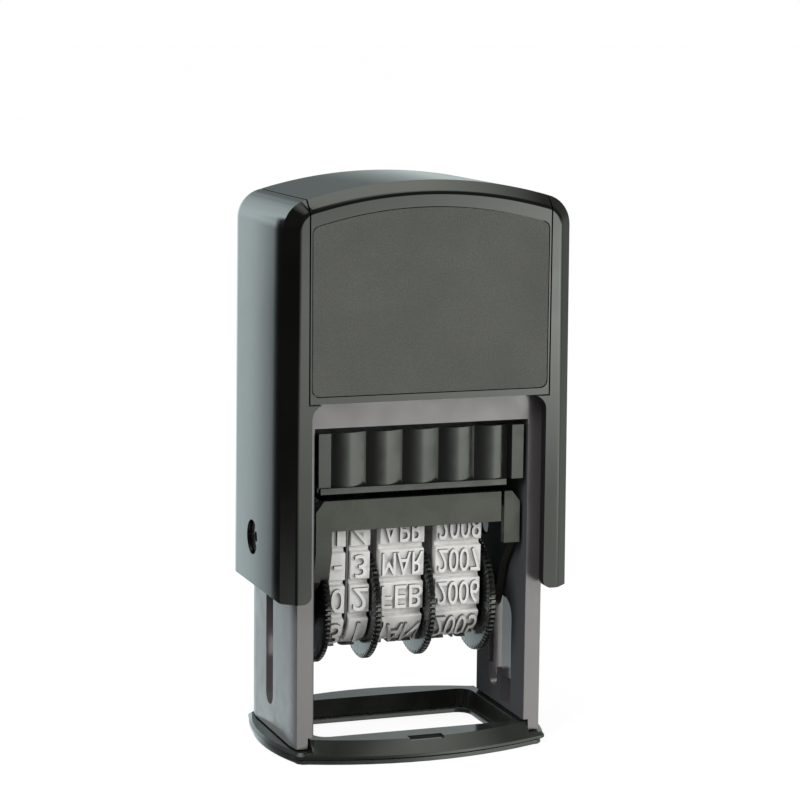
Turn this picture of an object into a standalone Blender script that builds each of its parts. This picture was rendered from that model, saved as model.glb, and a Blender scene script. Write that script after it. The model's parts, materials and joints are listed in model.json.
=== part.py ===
# Self-inking date stamp: a press-down cap on a frame, with a date unit that turns over.
# Metres, +Z up, front at -Y, origin under the middle of the foot.
import math

import bmesh
import bpy
from mathutils import Matrix, Vector

# General clearances
FIT = 0.0003
CLOSE_FIT = 0.0002
OVERRUN = 0.002
MERGE = 0.000002

# The press: how far the cap goes down, and how far the print face stands off the axle
CAP_TRAVEL = 0.0195
PRINT_REACH = 0.01025
AXLE_Y = 0.0014
AXLE_Z = CAP_TRAVEL + PRINT_REACH
PRINT_FACE = AXLE_Z + PRINT_REACH

# Widths, from the cap inwards
CAP_WIDTH = 0.042
CAP_SIDE_WALL = 0.00235
FRAME_HALF_WIDTH = CAP_WIDTH / 2 - CAP_SIDE_WALL - FIT
LEG_THICKNESS = 0.00275
PORTAL_HALF_WIDTH = FRAME_HALF_WIDTH - LEG_THICKNESS
PORTAL_CLEARANCE = 0.00055

# Depths, from the cap inwards
CAP_DEPTH = 0.0273
CAP_WALL = 0.0016
FRAME_DEPTH_CLEARANCE = 0.00165
FRAME_HALF_DEPTH = CAP_DEPTH / 2 - CAP_WALL - FRAME_DEPTH_CLEARANCE

# Ink cartridge and pad
PAD_RECESS = 0.002
PAD_THICKNESS = 0.0029
PAD_BOTTOM = PRINT_FACE + FIT
PAD_TOP = PAD_BOTTOM + PAD_THICKNESS
CARTRIDGE_HALF_WIDTH = PORTAL_HALF_WIDTH - PORTAL_CLEARANCE
CARTRIDGE_BOTTOM = PAD_BOTTOM - PAD_RECESS
CARTRIDGE_HEIGHT = 0.0077
CARTRIDGE_TOP = CARTRIDGE_BOTTOM + CARTRIDGE_HEIGHT
CARTRIDGE_HEAD_GAP = 0.0007
CARTRIDGE_LIP = 0.0009
CARTRIDGE_LIP_DROP = 0.00075
CARTRIDGE_LIP_DEPTH = 0.0015
CARTRIDGE_LIP_PROUD = 0.0003
CARTRIDGE_LIP_STOP = 0.0024
CARTRIDGE_SIDE_WALL = 0.00135
CARTRIDGE_END_WALL = 0.0019
WELL_HALF_WIDTH = CARTRIDGE_HALF_WIDTH - CARTRIDGE_SIDE_WALL
WELL_HALF_DEPTH = FRAME_HALF_DEPTH - CARTRIDGE_END_WALL
RIB_COUNT = 5
RIB_MARGIN = 0.0018
RIB_PITCH = 2 * (CARTRIDGE_HALF_WIDTH - RIB_MARGIN) / RIB_COUNT
RIB_HEIGHT = 0.0009
RIB_STEPS = 6
RUNNER_RISE = 0.0029
RUNNER_BOTTOM = CARTRIDGE_BOTTOM + RUNNER_RISE
RUNNER_HEIGHT = 0.0012
RUNNER_PROUD = 0.0014
RUNNER_STOP = 0.0015

# Frame
FRAME_HEAD_HEIGHT = 0.0063
HEAD_FLOOR = 0.0012
PORTAL_TOP = CARTRIDGE_TOP + CARTRIDGE_HEAD_GAP
FRAME_TOP = PORTAL_TOP + FRAME_HEAD_HEIGHT
WELL_FLOOR = PORTAL_TOP + HEAD_FLOOR
LEG_FACET_DEPTH = 0.0022
LEG_FACET_DROP = 0.00035
LEG_LIP = 0.00195
LEG_BACK_STEP = 0.0025
LEG_BACK_CHAMFER = 0.0016

# Cap
CAP_SKIRT = 0.00665
CAP_STROKE_SPARE = 0.002
CAP_ROOF = 0.006
CAP_BOTTOM = AXLE_Z - CAP_SKIRT
CAP_CEILING = FRAME_TOP + CAP_TRAVEL + CAP_STROKE_SPARE
CAP_TOP = CAP_CEILING + CAP_ROOF
CAP_BACK_DROP = 0.0003
CAP_DRAFT = 0.0003
CAP_ARCH_RADIUS = 0.064
CAP_SHOULDER_RADIUS = 0.0042
CAP_FRONT_BEVEL = 0.00175
CAP_TOP_BEVEL = 0.0015
CAP_BACK_RADIUS = 0.0045
CAP_BACK_TOP_RADIUS = 0.0045
CAP_CEILING_CHAMFER = 0.002
CAP_COLUMN = 0.004
CAP_WINDOW_LAP = 0.0025
CAP_WINDOW_HALF_WIDTH = CAP_WIDTH / 2 - CAP_COLUMN
CAP_WINDOW_TOP = FRAME_TOP - CAP_WINDOW_LAP
CAP_WINDOW_RADIUS = 0.002
CAP_WINDOW_FLARE = 0.0012
# The share of the depth behind the front over which the cap's top falls towards the back
BACK_SHARE = 0.5

# Return spring, with its well in the frame's head and its spigot in the cap
SPRING_RADIUS = 0.0054
SPRING_WIRE_RADIUS = 0.0005
SPRING_TURNS = 5.0
POINTS_PER_TURN = 10
WELL_ROOM = 0.0007
SPIGOT_ROOM = 0.0006
WELL_RADIUS = SPRING_RADIUS + SPRING_WIRE_RADIUS + WELL_ROOM
SPIGOT_RADIUS = SPRING_RADIUS - SPRING_WIRE_RADIUS - SPIGOT_ROOM
SPIGOT_LENGTH = 0.004

# Cover strip that wraps over the cap, and the inlays in it
COVER_COLUMN = 0.0036
COVER_HALF_WIDTH = CAP_WIDTH / 2 - COVER_COLUMN
COVER_THICKNESS = 0.0011
PANEL_BORDER = 0.0008
PANEL_FOOT_BORDER = 0.0011
PANEL_HEAD_BORDER = 0.0036
PANEL_HALF_WIDTH = COVER_HALF_WIDTH - PANEL_BORDER
PANEL_BOTTOM = CAP_WINDOW_TOP + PANEL_FOOT_BORDER
PANEL_TOP = CAP_TOP - PANEL_HEAD_BORDER
PANEL_CORNER = 0.0011
PANEL_THICKNESS = 0.00045
PANEL_ARCH_RADIUS = 0.058

# Pivot pins, and the slots that they run in
PIN_RADIUS = 0.00145
PIN_HEAD_RADIUS = 0.00215
PIN_BORE_RADIUS = 0.00072
PIN_BORE_DEPTH = 0.0016
PIN_RECESS = 0.0006
CAP_HOLE_RADIUS = PIN_HEAD_RADIUS + FIT
SLOT_WIDTH = 2 * (PIN_RADIUS + CLOSE_FIT)
SLOT_SPARE = 0.00315
SLOT_BOTTOM = AXLE_Z - CAP_TRAVEL - SLOT_WIDTH / 2 - SLOT_SPARE
SLOT_ROUND_SHARE = 0.98

# Cam pin on the left plate and its groove in the left leg
CAM_ARM = 0.0049
CAM_PIN_RADIUS = 0.001
CAM_PIN_LENGTH = 0.0013
CAM_PLAY = 0.00035
CAM_TIP_GAP = 0.00055
CAM_GROOVE_WIDTH = 2 * (CAM_PIN_RADIUS + CAM_PLAY)
CAM_GROOVE_DEPTH = CAM_PIN_LENGTH + CAM_TIP_GAP - PORTAL_CLEARANCE
CAM_STEPS = 14

# Base ring and foot
FOOT_HEIGHT = 0.0007
FOOT_SIDE_SETBACK = 0.00005
FOOT_SIDE_MARGIN = 0.0013
FOOT_HALF_WIDTH = FRAME_HALF_WIDTH - FOOT_SIDE_SETBACK
FOOT_SIDE_DEPTH = FRAME_HALF_DEPTH + FOOT_SIDE_MARGIN
FOOT_BULGE = 0.0032
FOOT_SIDE_BULGE = 0.0017
FLANGE_HEIGHT = 0.001
FLANGE_TOP = FOOT_HEIGHT + FLANGE_HEIGHT
FLANGE_MARGIN = 0.0004
RING_WALL_HEIGHT = 0.0014
RING_TOP = FLANGE_TOP + RING_WALL_HEIGHT
RING_SETBACK = 0.0013
BASE_CORNER = 0.0016
CORNER_SHARES = (0.3, 0.7)
THUMB_MARK_HALF = 0.0025
THUMB_MARK_DEPTH = 0.0003
FRAME_BOTTOM = FLANGE_TOP + CLOSE_FIT
LEG_NOTCH_TOP = RING_TOP + FIT

# Guide pockets low on the legs' inner faces, and the latch holes under them
POCKET_Y = (-0.0055, -0.0015)
LATCH_RISE = 0.0005
LATCH_HEIGHT = 0.0037
POCKET_HEIGHT = 0.0104
LATCH_BOTTOM = LEG_NOTCH_TOP + LATCH_RISE
POCKET_BOTTOM = LATCH_BOTTOM + LATCH_HEIGHT
POCKET_TOP = POCKET_BOTTOM + POCKET_HEIGHT
POCKET_DEPTH = 0.0007
LATCH_DEPTH = 0.0019

# Date unit: side plates and bars
PLATE_OUTER = PORTAL_HALF_WIDTH - PORTAL_CLEARANCE
PLATE_THICKNESS = 0.00115
PLATE_INNER = PLATE_OUTER - PLATE_THICKNESS
PLATE_FRONT_SETBACK = 0.00105
PLATE_BACK_SETBACK = 0.0018
PLATE_FRONT = FRAME_HALF_DEPTH - PLATE_FRONT_SETBACK
PLATE_BACK = FRAME_HALF_DEPTH - PLATE_BACK_SETBACK
PLATE_DROP = 0.0036
PLATE_TOP = PRINT_FACE - PLATE_DROP
PLATE_CORNER_X = 0.0012
PLATE_CORNER_Z = 0.00155
PLATE_STEP_DROP = 0.00075
PLATE_STEP_Z = AXLE_Z - PLATE_STEP_DROP
PLATE_STEP_Y = 0.00125
PLATE_WAIST_DROP = 0.00455
PLATE_WAIST_Y = 0.0049
PLATE_WAIST_Z = AXLE_Z - PLATE_WAIST_DROP
PLATE_HEEL_DROP = 0.005
PLATE_HEEL_SETBACK = 0.0013
PLATE_HEEL_Z = AXLE_Z - PLATE_HEEL_DROP
SHAFT_LOBE_RADIUS = 0.0023
LOBE_LEAN = 12
BOSS_SHARE = 0.9
BAR_HEIGHT = 0.0043
BAR_BOTTOM = PLATE_TOP - BAR_HEIGHT
BAR_THICKNESS = 0.0012
BAR_END_GAP = 0.00045
FLANGE_WIDTH = 0.0012
FLANGE_INNER = PLATE_INNER - FLANGE_WIDTH
BAR_GAP_X = FLANGE_INNER - BAR_END_GAP

# Wheels, whose rim lies flush with the plates' front
WHEEL_Y = -0.001
WHEEL_DROP = 0.00945
WHEEL_Z = AXLE_Z - WHEEL_DROP
WHEEL_RADIUS = PLATE_FRONT + WHEEL_Y
WHEEL_TEETH = 60
WHEEL_TOOTH_DEPTH = 0.0005
TOOTH_SHARES = ((0.0, 1.0), (0.25, 0.0), (0.6, 0.0), (0.85, 1.0))
SHAFT_RADIUS = 0.0008
SHAFT_END_GAP = 0.0003
WHEEL_BORE_RADIUS = SHAFT_RADIUS + FIT

# Bands
BAND_THICKNESS = 0.0008
PAD_HEIGHT = 0.0009
PAD_COUNT = 12
PAD_GROOVE = 0.0009
PAD_PHASE = 0.00075
PAD_SHARES = (-0.5, 0.0, 0.5)
BAND_SETBACK = 0.00155
BAND_FRONT = WHEEL_RADIUS - BAND_SETBACK
BRIDGE_FRONT = -0.0014
BRIDGE_BACK = -0.0006
BRIDGE_CORNER_RADIUS = 0.0007
SHOULDER_Y = -0.0047
SHOULDER_RISE = 0.00325
SHOULDER_Z = AXLE_Z + SHOULDER_RISE
SHOULDER_RADIUS = 0.001
BRIDGE_BAR_HEIGHT = 0.0066
BRIDGE_BAR_BOTTOM = PRINT_FACE - BRIDGE_BAR_HEIGHT
DIVIDER_THICKNESS = 0.00035

# Band and disc places along the shaft, as shares of the way from the middle to a side plate
TENS_BAND_SHARES = (-0.8885, -0.7194)
UNITS_BAND_SHARES = (-0.6669, -0.4612)
MONTH_BAND_SHARES = (-0.3554, 0.1129)
YEAR_BAND_SHARES = (0.2417, 0.7266)
TENS_DISC_SHARES = (-0.9712, -0.9029)
UNITS_DISC_SHARES = (-0.4446, -0.3727)
MONTH_DISC_SHARES = (0.1295, 0.2014)
YEAR_DISC_SHARES = (0.7734, 0.8525)

# Text block behind the bands
TEXT_BACK = 0.0063
TEXT_FRONT = 0.00215
TEXT_PLATE_THICKNESS = 0.0016
TEXT_BLOCK_HEIGHT = 0.0042
TEXT_HEEL = 0.0008
TEXT_SIDE_GAP = 0.0011
TEXT_HALF_WIDTH = PLATE_INNER - TEXT_SIDE_GAP

# Window in the base that the print face comes down through
WINDOW_MARGIN = 0.0011
WINDOW_HALF_WIDTH = TEXT_HALF_WIDTH + WINDOW_MARGIN
WINDOW_HALF_DEPTH = 0.0076
WINDOW_SPREAD = 0.0019
WINDOW_CORNER = 0.002

# Resolution of arcs
ARC_STEPS = 4
ARCH_STEPS = 12
ROUND_SEGMENTS = 28
PIN_SEGMENTS = 24

PARTS = bpy.data.collections.new("date_stamp")
CUTTERS = bpy.data.collections.new("cutters")


def clear_scene():
    for obj in list(bpy.data.objects):
        bpy.data.objects.remove(obj, do_unlink=True)
    bpy.context.scene.collection.children.link(PARTS)
    bpy.context.scene.collection.children.link(CUTTERS)


def material(name, colour, roughness, metallic=0.0):
    mat = bpy.data.materials.new(name)
    mat.use_nodes = True
    shader = mat.node_tree.nodes["Principled BSDF"]
    shader.inputs["Base Color"].default_value = (*colour, 1.0)
    shader.inputs["Roughness"].default_value = roughness
    shader.inputs["Metallic"].default_value = metallic
    return mat


def new_object(name, mesh, mat=None):
    obj = bpy.data.objects.new(name, mesh)
    if mat is None:
        CUTTERS.objects.link(obj)
        obj.hide_render = True
        obj.display_type = "WIRE"
    else:
        PARTS.objects.link(obj)
        obj.data.materials.clear()
        obj.data.materials.append(mat)
    return obj


def mesh_from(bm, name):
    mesh = bpy.data.meshes.new(name)
    bm.to_mesh(mesh)
    bm.free()
    return mesh


def boolean(obj, operation, *tools):
    for tool in tools:
        mod = obj.modifiers.new(operation.lower(), "BOOLEAN")
        mod.operation = operation
        mod.solver = "EXACT"
        mod.object = tool
    return obj


def cut(obj, *tools):
    return boolean(obj, "DIFFERENCE", *tools)


def join(obj, *tools):
    return boolean(obj, "UNION", *tools)


def box(name, x, y, z, mat=None):
    """A box between the limits in the pairs x, y and z."""
    bm = bmesh.new()
    bmesh.ops.create_cube(bm, size=1.0)
    size = Vector((x[1] - x[0], y[1] - y[0], z[1] - z[0]))
    middle = Vector((x[0] + x[1], y[0] + y[1], z[0] + z[1])) / 2
    bmesh.ops.scale(bm, vec=size, verts=bm.verts)
    bmesh.ops.translate(bm, vec=middle, verts=bm.verts)
    return new_object(name, mesh_from(bm, name), mat)


# Matrices that stand a flat drawing up: its normal runs along X, along -Y, or along Z.
STAND = {
    "X": Matrix(((0, 0, 1, 0), (1, 0, 0, 0), (0, 1, 0, 0), (0, 0, 0, 1))),
    "Y": Matrix(((1, 0, 0, 0), (0, 0, -1, 0), (0, 1, 0, 0), (0, 0, 0, 1))),
    "Z": Matrix.Identity(4),
}


def rod(name, axis, centre, radius, span, mat=None, segments=ROUND_SEGMENTS):
    """A cylinder along an axis, at a centre in the two other axes, over a span."""
    bm = bmesh.new()
    length = span[1] - span[0]
    bmesh.ops.create_cone(bm, cap_ends=True, segments=segments, radius1=radius, radius2=radius, depth=length)
    along = (span[0] + span[1]) / 2
    if axis == "Y":
        along = -along
    shift = Matrix.Translation((centre[0], centre[1], along))
    bmesh.ops.transform(bm, matrix=STAND[axis] @ shift, verts=bm.verts)
    return new_object(name, mesh_from(bm, name), mat)


def slab(name, axis, outline, span, mat=None, holes=()):
    """A flat outline, with holes, drawn in the two other axes and extruded over a span."""
    curve = bpy.data.curves.new(name, "CURVE")
    curve.dimensions = "2D"
    curve.fill_mode = "BOTH"
    curve.extrude = (span[1] - span[0]) / 2
    for ring in (outline, *holes):
        spline = curve.splines.new("POLY")
        spline.points.add(len(ring) - 1)
        for point, (u, v) in zip(spline.points, ring):
            point.co = (u, v, 0, 1)
        spline.use_cyclic_u = True
    drawing = bpy.data.objects.new(name + "_drawing", curve)
    bpy.context.scene.collection.objects.link(drawing)
    graph = bpy.context.evaluated_depsgraph_get()
    mesh = bpy.data.meshes.new_from_object(drawing.evaluated_get(graph))
    bpy.data.objects.remove(drawing, do_unlink=True)
    along = (span[0] + span[1]) / 2
    if axis == "Y":
        along = -along
    bm = bmesh.new()
    bm.from_mesh(mesh)
    bmesh.ops.remove_doubles(bm, verts=bm.verts, dist=MERGE)
    bmesh.ops.transform(bm, matrix=STAND[axis] @ Matrix.Translation((0, 0, along)), verts=bm.verts)
    bmesh.ops.recalc_face_normals(bm, faces=bm.faces)
    return new_object(name, mesh_from(bm, name), mat)


def arc(centre, radius, start, end, steps=ARC_STEPS):
    """Points on an arc between two angles in degrees."""
    points = []
    for i in range(steps + 1):
        angle = math.radians(start + (end - start) * i / steps)
        points.append((centre[0] + radius * math.cos(angle), centre[1] + radius * math.sin(angle)))
    return points


def rounded_rectangle(u, v, radius, steps=ARC_STEPS):
    """A rectangle between the limits in the pairs u and v, with round corners."""
    points = arc((u[1] - radius, v[0] + radius), radius, -90, 0, steps)
    points += arc((u[1] - radius, v[1] - radius), radius, 0, 90, steps)
    points += arc((u[0] + radius, v[1] - radius), radius, 90, 180, steps)
    points += arc((u[0] + radius, v[0] + radius), radius, 180, 270, steps)
    return points


def loft(name, rings, mat=None):
    """A solid through rings of as many points each, closed at both ends."""
    bm = bmesh.new()
    loops = [[bm.verts.new(point) for point in ring] for ring in rings]
    for near, far in zip(loops, loops[1:]):
        for i in range(len(near)):
            j = (i + 1) % len(near)
            bm.faces.new((near[i], near[j], far[j], far[i]))
    bm.faces.new(loops[0])
    bm.faces.new(loops[-1])
    bmesh.ops.recalc_face_normals(bm, faces=bm.faces)
    return new_object(name, mesh_from(bm, name), mat)


def shade_round(obj, degrees=35):
    obj.data.shade_smooth()
    obj.data.set_sharp_from_angle(angle=math.radians(degrees))


# Cap

def cap_ring(y, side_inset, top_inset, bottom):
    """The cap's outline in X and Z at one depth, drawn in by the two insets."""
    foot = CAP_WIDTH / 2 - side_inset
    half = foot - CAP_DRAFT
    radius = CAP_ARCH_RADIUS - top_inset
    centre_z = CAP_TOP - CAP_ARCH_RADIUS - CAP_BACK_DROP * max(0.0, y / CAP_DEPTH + BACK_SHARE)
    corner = max(CAP_SHOULDER_RADIUS - top_inset, CAP_SHOULDER_RADIUS / 5)
    corner_x = half - corner
    corner_z = centre_z + math.sqrt((radius - corner) ** 2 - corner_x ** 2)
    lean = math.degrees(math.atan2(corner_z - centre_z, corner_x))
    outline = [(foot, bottom)]
    outline += arc((corner_x, corner_z), corner, 0, lean)
    outline += arc((0, centre_z), radius, lean, 180 - lean, ARCH_STEPS)[1:-1]
    outline += arc((-corner_x, corner_z), corner, 180 - lean, 180)
    outline += [(-foot, bottom)]
    return [(x, y, z) for x, z in outline]


def cap_form(name, inset, bottom, mat=None):
    """The cap's solid, drawn in all round by an inset."""
    front = -CAP_DEPTH / 2
    back = CAP_DEPTH / 2 - CAP_BACK_RADIUS
    slope = math.hypot(CAP_FRONT_BEVEL, CAP_TOP_BEVEL) / CAP_TOP_BEVEL
    creep = slope * inset - inset * CAP_FRONT_BEVEL / CAP_TOP_BEVEL
    drop = creep * CAP_TOP_BEVEL / CAP_FRONT_BEVEL / 2
    rings = [cap_ring(front + inset, CAP_FRONT_BEVEL + drop, CAP_TOP_BEVEL + drop, bottom)]
    rings.append(cap_ring(front + CAP_FRONT_BEVEL + creep, inset, inset, bottom))
    for i in range(ARC_STEPS + 1):
        angle = math.radians(90) * i / ARC_STEPS
        away = 1 - math.cos(angle)
        side = inset + (CAP_BACK_RADIUS - inset) * away
        top = inset + (CAP_BACK_TOP_RADIUS - inset) * away
        rings.append(cap_ring(back + (CAP_BACK_RADIUS - inset) * math.sin(angle), side, top, bottom))
    return loft(name, rings, mat)


def cap_window(name, y):
    """A cutter for the cap's open front or back, with round top corners."""
    half = CAP_WINDOW_HALF_WIDTH
    low = CAP_BOTTOM - OVERRUN
    flare = CAP_WINDOW_FLARE
    outline = [(half + flare, low)]
    outline += arc((half + flare, CAP_BOTTOM + flare), flare, 270, 180)
    outline += arc((half - CAP_WINDOW_RADIUS, CAP_WINDOW_TOP - CAP_WINDOW_RADIUS), CAP_WINDOW_RADIUS, 0, 90)
    outline += arc((CAP_WINDOW_RADIUS - half, CAP_WINDOW_TOP - CAP_WINDOW_RADIUS), CAP_WINDOW_RADIUS, 90, 180)
    outline += arc((-half - flare, CAP_BOTTOM + flare), flare, 0, -90)
    outline += [(-half - flare, low)]
    return slab(name, "Y", outline, y)


def cap_cavity():
    """The hollow that the frame runs in, with small chamfers at its ceiling."""
    half = CAP_WIDTH / 2 - CAP_SIDE_WALL
    chamfer = CAP_CEILING_CHAMFER
    low = CAP_BOTTOM - OVERRUN
    outline = [(half, low), (half, CAP_CEILING - chamfer), (half - chamfer, CAP_CEILING)]
    outline += [(chamfer - half, CAP_CEILING), (-half, CAP_CEILING - chamfer), (-half, low)]
    depth = CAP_DEPTH / 2 - CAP_WALL
    return slab("cap_cavity", "Y", outline, (-depth, depth))


def make_cap(black, dark):
    gap = CLOSE_FIT / 2
    core = cap_form("cover_core", COVER_THICKNESS + gap * 2, CAP_WINDOW_TOP - OVERRUN)
    inner = cap_form("cover_inner", COVER_THICKNESS, CAP_WINDOW_TOP - OVERRUN)
    reach = CAP_DEPTH / 2 + OVERRUN
    high = CAP_TOP + OVERRUN
    recess = (-COVER_HALF_WIDTH - gap, COVER_HALF_WIDTH + gap)
    zone = box("cover_zone", recess, (-reach, reach), (CAP_WINDOW_TOP - gap, high))
    cut(zone, core)
    cavity = cap_cavity()
    inner_wall = CAP_DEPTH / 2 - CAP_WALL - FIT
    front_window = cap_window("front_window", (-reach, -inner_wall))
    rear_window = cap_window("rear_window", (inner_wall, reach))
    across = (-CAP_WIDTH / 2 - OVERRUN, CAP_WIDTH / 2 + OVERRUN)
    holes = rod("axle_holes", "X", (AXLE_Y, AXLE_Z), CAP_HOLE_RADIUS, across)
    shell = cap_form("cap_shell", 0.0, CAP_BOTTOM, black)
    cut(shell, zone, cavity, front_window, rear_window, holes)
    spigot_top = CAP_CEILING + (CAP_TOP - CAP_CEILING) / 2
    spigot = rod("spigot", "Z", (0, 0), SPIGOT_RADIUS, (CAP_CEILING - SPIGOT_LENGTH, spigot_top))
    join(shell, spigot)

    strip = cap_form("cover_strip", 0.0, CAP_WINDOW_TOP + gap, black)
    width = (-COVER_HALF_WIDTH + gap, COVER_HALF_WIDTH - gap)
    keep = box("cover_keep", width, (-reach, reach), (CAP_WINDOW_TOP + gap, high))
    boolean(strip, "INTERSECT", keep)
    cut(strip, inner)
    for name, side in (("front_panel", -1), ("rear_panel", 1)):
        face = side * CAP_DEPTH / 2
        floor = face - side * (PANEL_THICKNESS + CLOSE_FIT)
        recess_span = sorted((floor, face + side * OVERRUN))
        cut(strip, slab(name + "_recess", "Y", panel_outline(CLOSE_FIT / 2), recess_span))
        seat = floor + side * CLOSE_FIT
        slab(name, "Y", panel_outline(0.0), sorted((seat, face)), dark)


def panel_outline(margin):
    """The inlay's outline: straight sides and foot, an arched head."""
    half = PANEL_HALF_WIDTH + margin
    low = PANEL_BOTTOM - margin
    corner = PANEL_CORNER
    centre_z = PANEL_TOP - PANEL_ARCH_RADIUS
    radius = PANEL_ARCH_RADIUS + margin
    corner_z = centre_z + math.sqrt((radius - corner) ** 2 - (half - corner) ** 2)
    lean = math.degrees(math.atan2(corner_z - centre_z, half - corner))
    points = arc((half - corner, low + corner), corner, -90, 0)
    points += arc((half - corner, corner_z), corner, 0, lean)
    points += arc((0, centre_z), radius, lean, 180 - lean, ARCH_STEPS)[1:-1]
    points += arc((corner - half, corner_z), corner, 180 - lean, 180)
    points += arc((corner - half, low + corner), corner, 180, 270)
    return points


# Frame

def frame_plan():
    """The frame's outline in plan, with shallow facets beside its corners."""
    half = FRAME_HALF_WIDTH
    depth = FRAME_HALF_DEPTH
    flat = depth - LEG_FACET_DEPTH
    narrow = half - LEG_FACET_DROP
    quarter = [(half, -flat), (half, flat), (narrow, depth)]
    return quarter + [(-x, y) for x, y in reversed(quarter)] + [(-narrow, -depth), (narrow, -depth)]


def cam_path():
    """The way of a cam pin in Y and Z as the cap goes down and the unit turns over."""
    points = []
    for i in range(CAM_STEPS + 1):
        turn = math.pi * i / CAM_STEPS
        drop = CAP_TRAVEL * i / CAM_STEPS
        points.append((AXLE_Y + CAM_ARM * math.cos(turn), AXLE_Z - drop - CAM_ARM * math.sin(turn)))
    return points


def cam_groove(name, span):
    """A cutter for the groove: the path widened on both sides, with round ends."""
    path = cam_path()
    half = CAM_GROOVE_WIDTH / 2
    left = []
    right = []
    for i, (y, z) in enumerate(path):
        before = path[max(i - 1, 0)]
        after = path[min(i + 1, len(path) - 1)]
        run = math.hypot(after[0] - before[0], after[1] - before[1])
        ny = -(after[1] - before[1]) / run
        nz = (after[0] - before[0]) / run
        left.append((y + ny * half, z + nz * half))
        right.append((y - ny * half, z - nz * half))
    start = math.degrees(math.atan2(left[0][1] - path[0][1], left[0][0] - path[0][0]))
    end = math.degrees(math.atan2(left[-1][1] - path[-1][1], left[-1][0] - path[-1][0]))
    head = arc(path[0], half, start + 180, start)
    tail = arc(path[-1], half, end, end - 180)
    outline = head[:-1] + left + tail[1:-1] + right[::-1][:-1]
    return slab(name, "X", outline, span)


def guide_pocket(name, span):
    """A cutter for the shallow pocket where the guide ends, with a round head."""
    radius = (POCKET_Y[1] - POCKET_Y[0]) / 2
    middle = (POCKET_Y[0] + POCKET_Y[1]) / 2
    outline = [(POCKET_Y[0], POCKET_BOTTOM - CLOSE_FIT), (POCKET_Y[1], POCKET_BOTTOM - CLOSE_FIT)]
    outline += arc((middle, POCKET_TOP - radius), radius, 0, 180)
    return slab(name, "X", outline, span)


def make_frame(grey):
    inner = PORTAL_HALF_WIDTH
    reach = FRAME_HALF_DEPTH + OVERRUN
    low = FRAME_BOTTOM - OVERRUN
    frame = slab("inner_frame", "Z", frame_plan(), (FRAME_BOTTOM, FRAME_TOP), grey)
    wide = inner + LEG_BACK_CHAMFER
    flat_end = FRAME_HALF_DEPTH - LEG_BACK_STEP
    plan = [(inner, -reach), (inner, flat_end), (wide, FRAME_HALF_DEPTH), (wide, reach)]
    plan += [(-x, y) for x, y in reversed(plan)]
    portal = slab("portal", "Z", plan, (low, PORTAL_TOP))
    lip = FRAME_HALF_WIDTH - LEG_LIP
    notch = box("leg_notch", (-lip, lip), (-reach, reach), (low, LEG_NOTCH_TOP))
    well = rod("spring_well", "Z", (0, 0), WELL_RADIUS, (WELL_FLOOR, FRAME_TOP + OVERRUN))
    cut(frame, portal, notch, well)
    half = SLOT_WIDTH / 2
    top = AXLE_Z + half
    across = FRAME_HALF_WIDTH + OVERRUN
    slot_y = (AXLE_Y - half, AXLE_Y + half)
    slot = rounded_rectangle(slot_y, (SLOT_BOTTOM, top), half * SLOT_ROUND_SHARE)
    cut(frame, slab("axle_slots", "X", slot, (-across, across)))
    groove = inner + CAM_GROOVE_DEPTH
    cut(frame, cam_groove("cam_groove", (-groove, -inner + OVERRUN)))
    for name, side in (("left", -1), ("right", 1)):
        open_end = side * (inner - OVERRUN)
        pocket = guide_pocket("guide_pocket_" + name, sorted((open_end, side * (inner + POCKET_DEPTH))))
        latch_span = sorted((open_end, side * (inner + LATCH_DEPTH)))
        latch = box("latch_hole_" + name, latch_span, POCKET_Y, (LATCH_BOTTOM, POCKET_BOTTOM))
        cut(frame, pocket, latch)
    bottom = RUNNER_BOTTOM - FIT
    runner = CARTRIDGE_HALF_WIDTH + RUNNER_PROUD + FIT
    front_stop = -FRAME_HALF_DEPTH + RUNNER_STOP
    height = (bottom, bottom + RUNNER_HEIGHT + 2 * FIT)
    cut(frame, box("runner_grooves", (-runner, runner), (front_stop, reach), height))


# Base ring and foot

def bow(half, offset, rise):
    """Points along a side that bows outwards, from +half to -half, at an offset."""
    radius = (half ** 2 + rise ** 2) / (2 * rise)
    sweep = math.degrees(math.asin(half / radius))
    return arc((0, offset + rise - radius), radius, 90 - sweep, 90 + sweep, ARCH_STEPS)


def base_plan(margin):
    """The base's outline in plan: four bowed sides with round corners."""
    half = FOOT_HALF_WIDTH + margin
    side = FOOT_SIDE_DEPTH + margin
    corner = BASE_CORNER
    back = bow(half - corner, side, FOOT_BULGE)
    left = [(-v, u) for u, v in bow(side - corner, half, FOOT_SIDE_BULGE)]
    front = [(-x, -y) for x, y in back]
    right = [(-x, -y) for x, y in left]
    points = []
    turns = ((back, (-half, side)), (left, (-half, -side)), (front, (half, -side)), (right, (half, side)))
    for i, (run, tip) in enumerate(turns):
        start = run[-1]
        end = turns[(i + 1) % len(turns)][0][0]
        points += run
        points += [blend_corner(start, tip, end, t) for t in CORNER_SHARES]
    return points


def blend_corner(start, tip, end, t):
    """A point at share t of the curve from start to end that is drawn to the tip."""
    return tuple((1 - t) ** 2 * a + 2 * t * (1 - t) * b + t ** 2 * c for a, b, c in zip(start, tip, end))


def window_ring(z, spread):
    plan = rounded_rectangle(
        (-WINDOW_HALF_WIDTH - spread / 2, WINDOW_HALF_WIDTH + spread / 2),
        (-WINDOW_HALF_DEPTH - spread, WINDOW_HALF_DEPTH + spread),
        WINDOW_CORNER,
    )
    return [(x, y, z) for x, y in plan]


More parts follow.
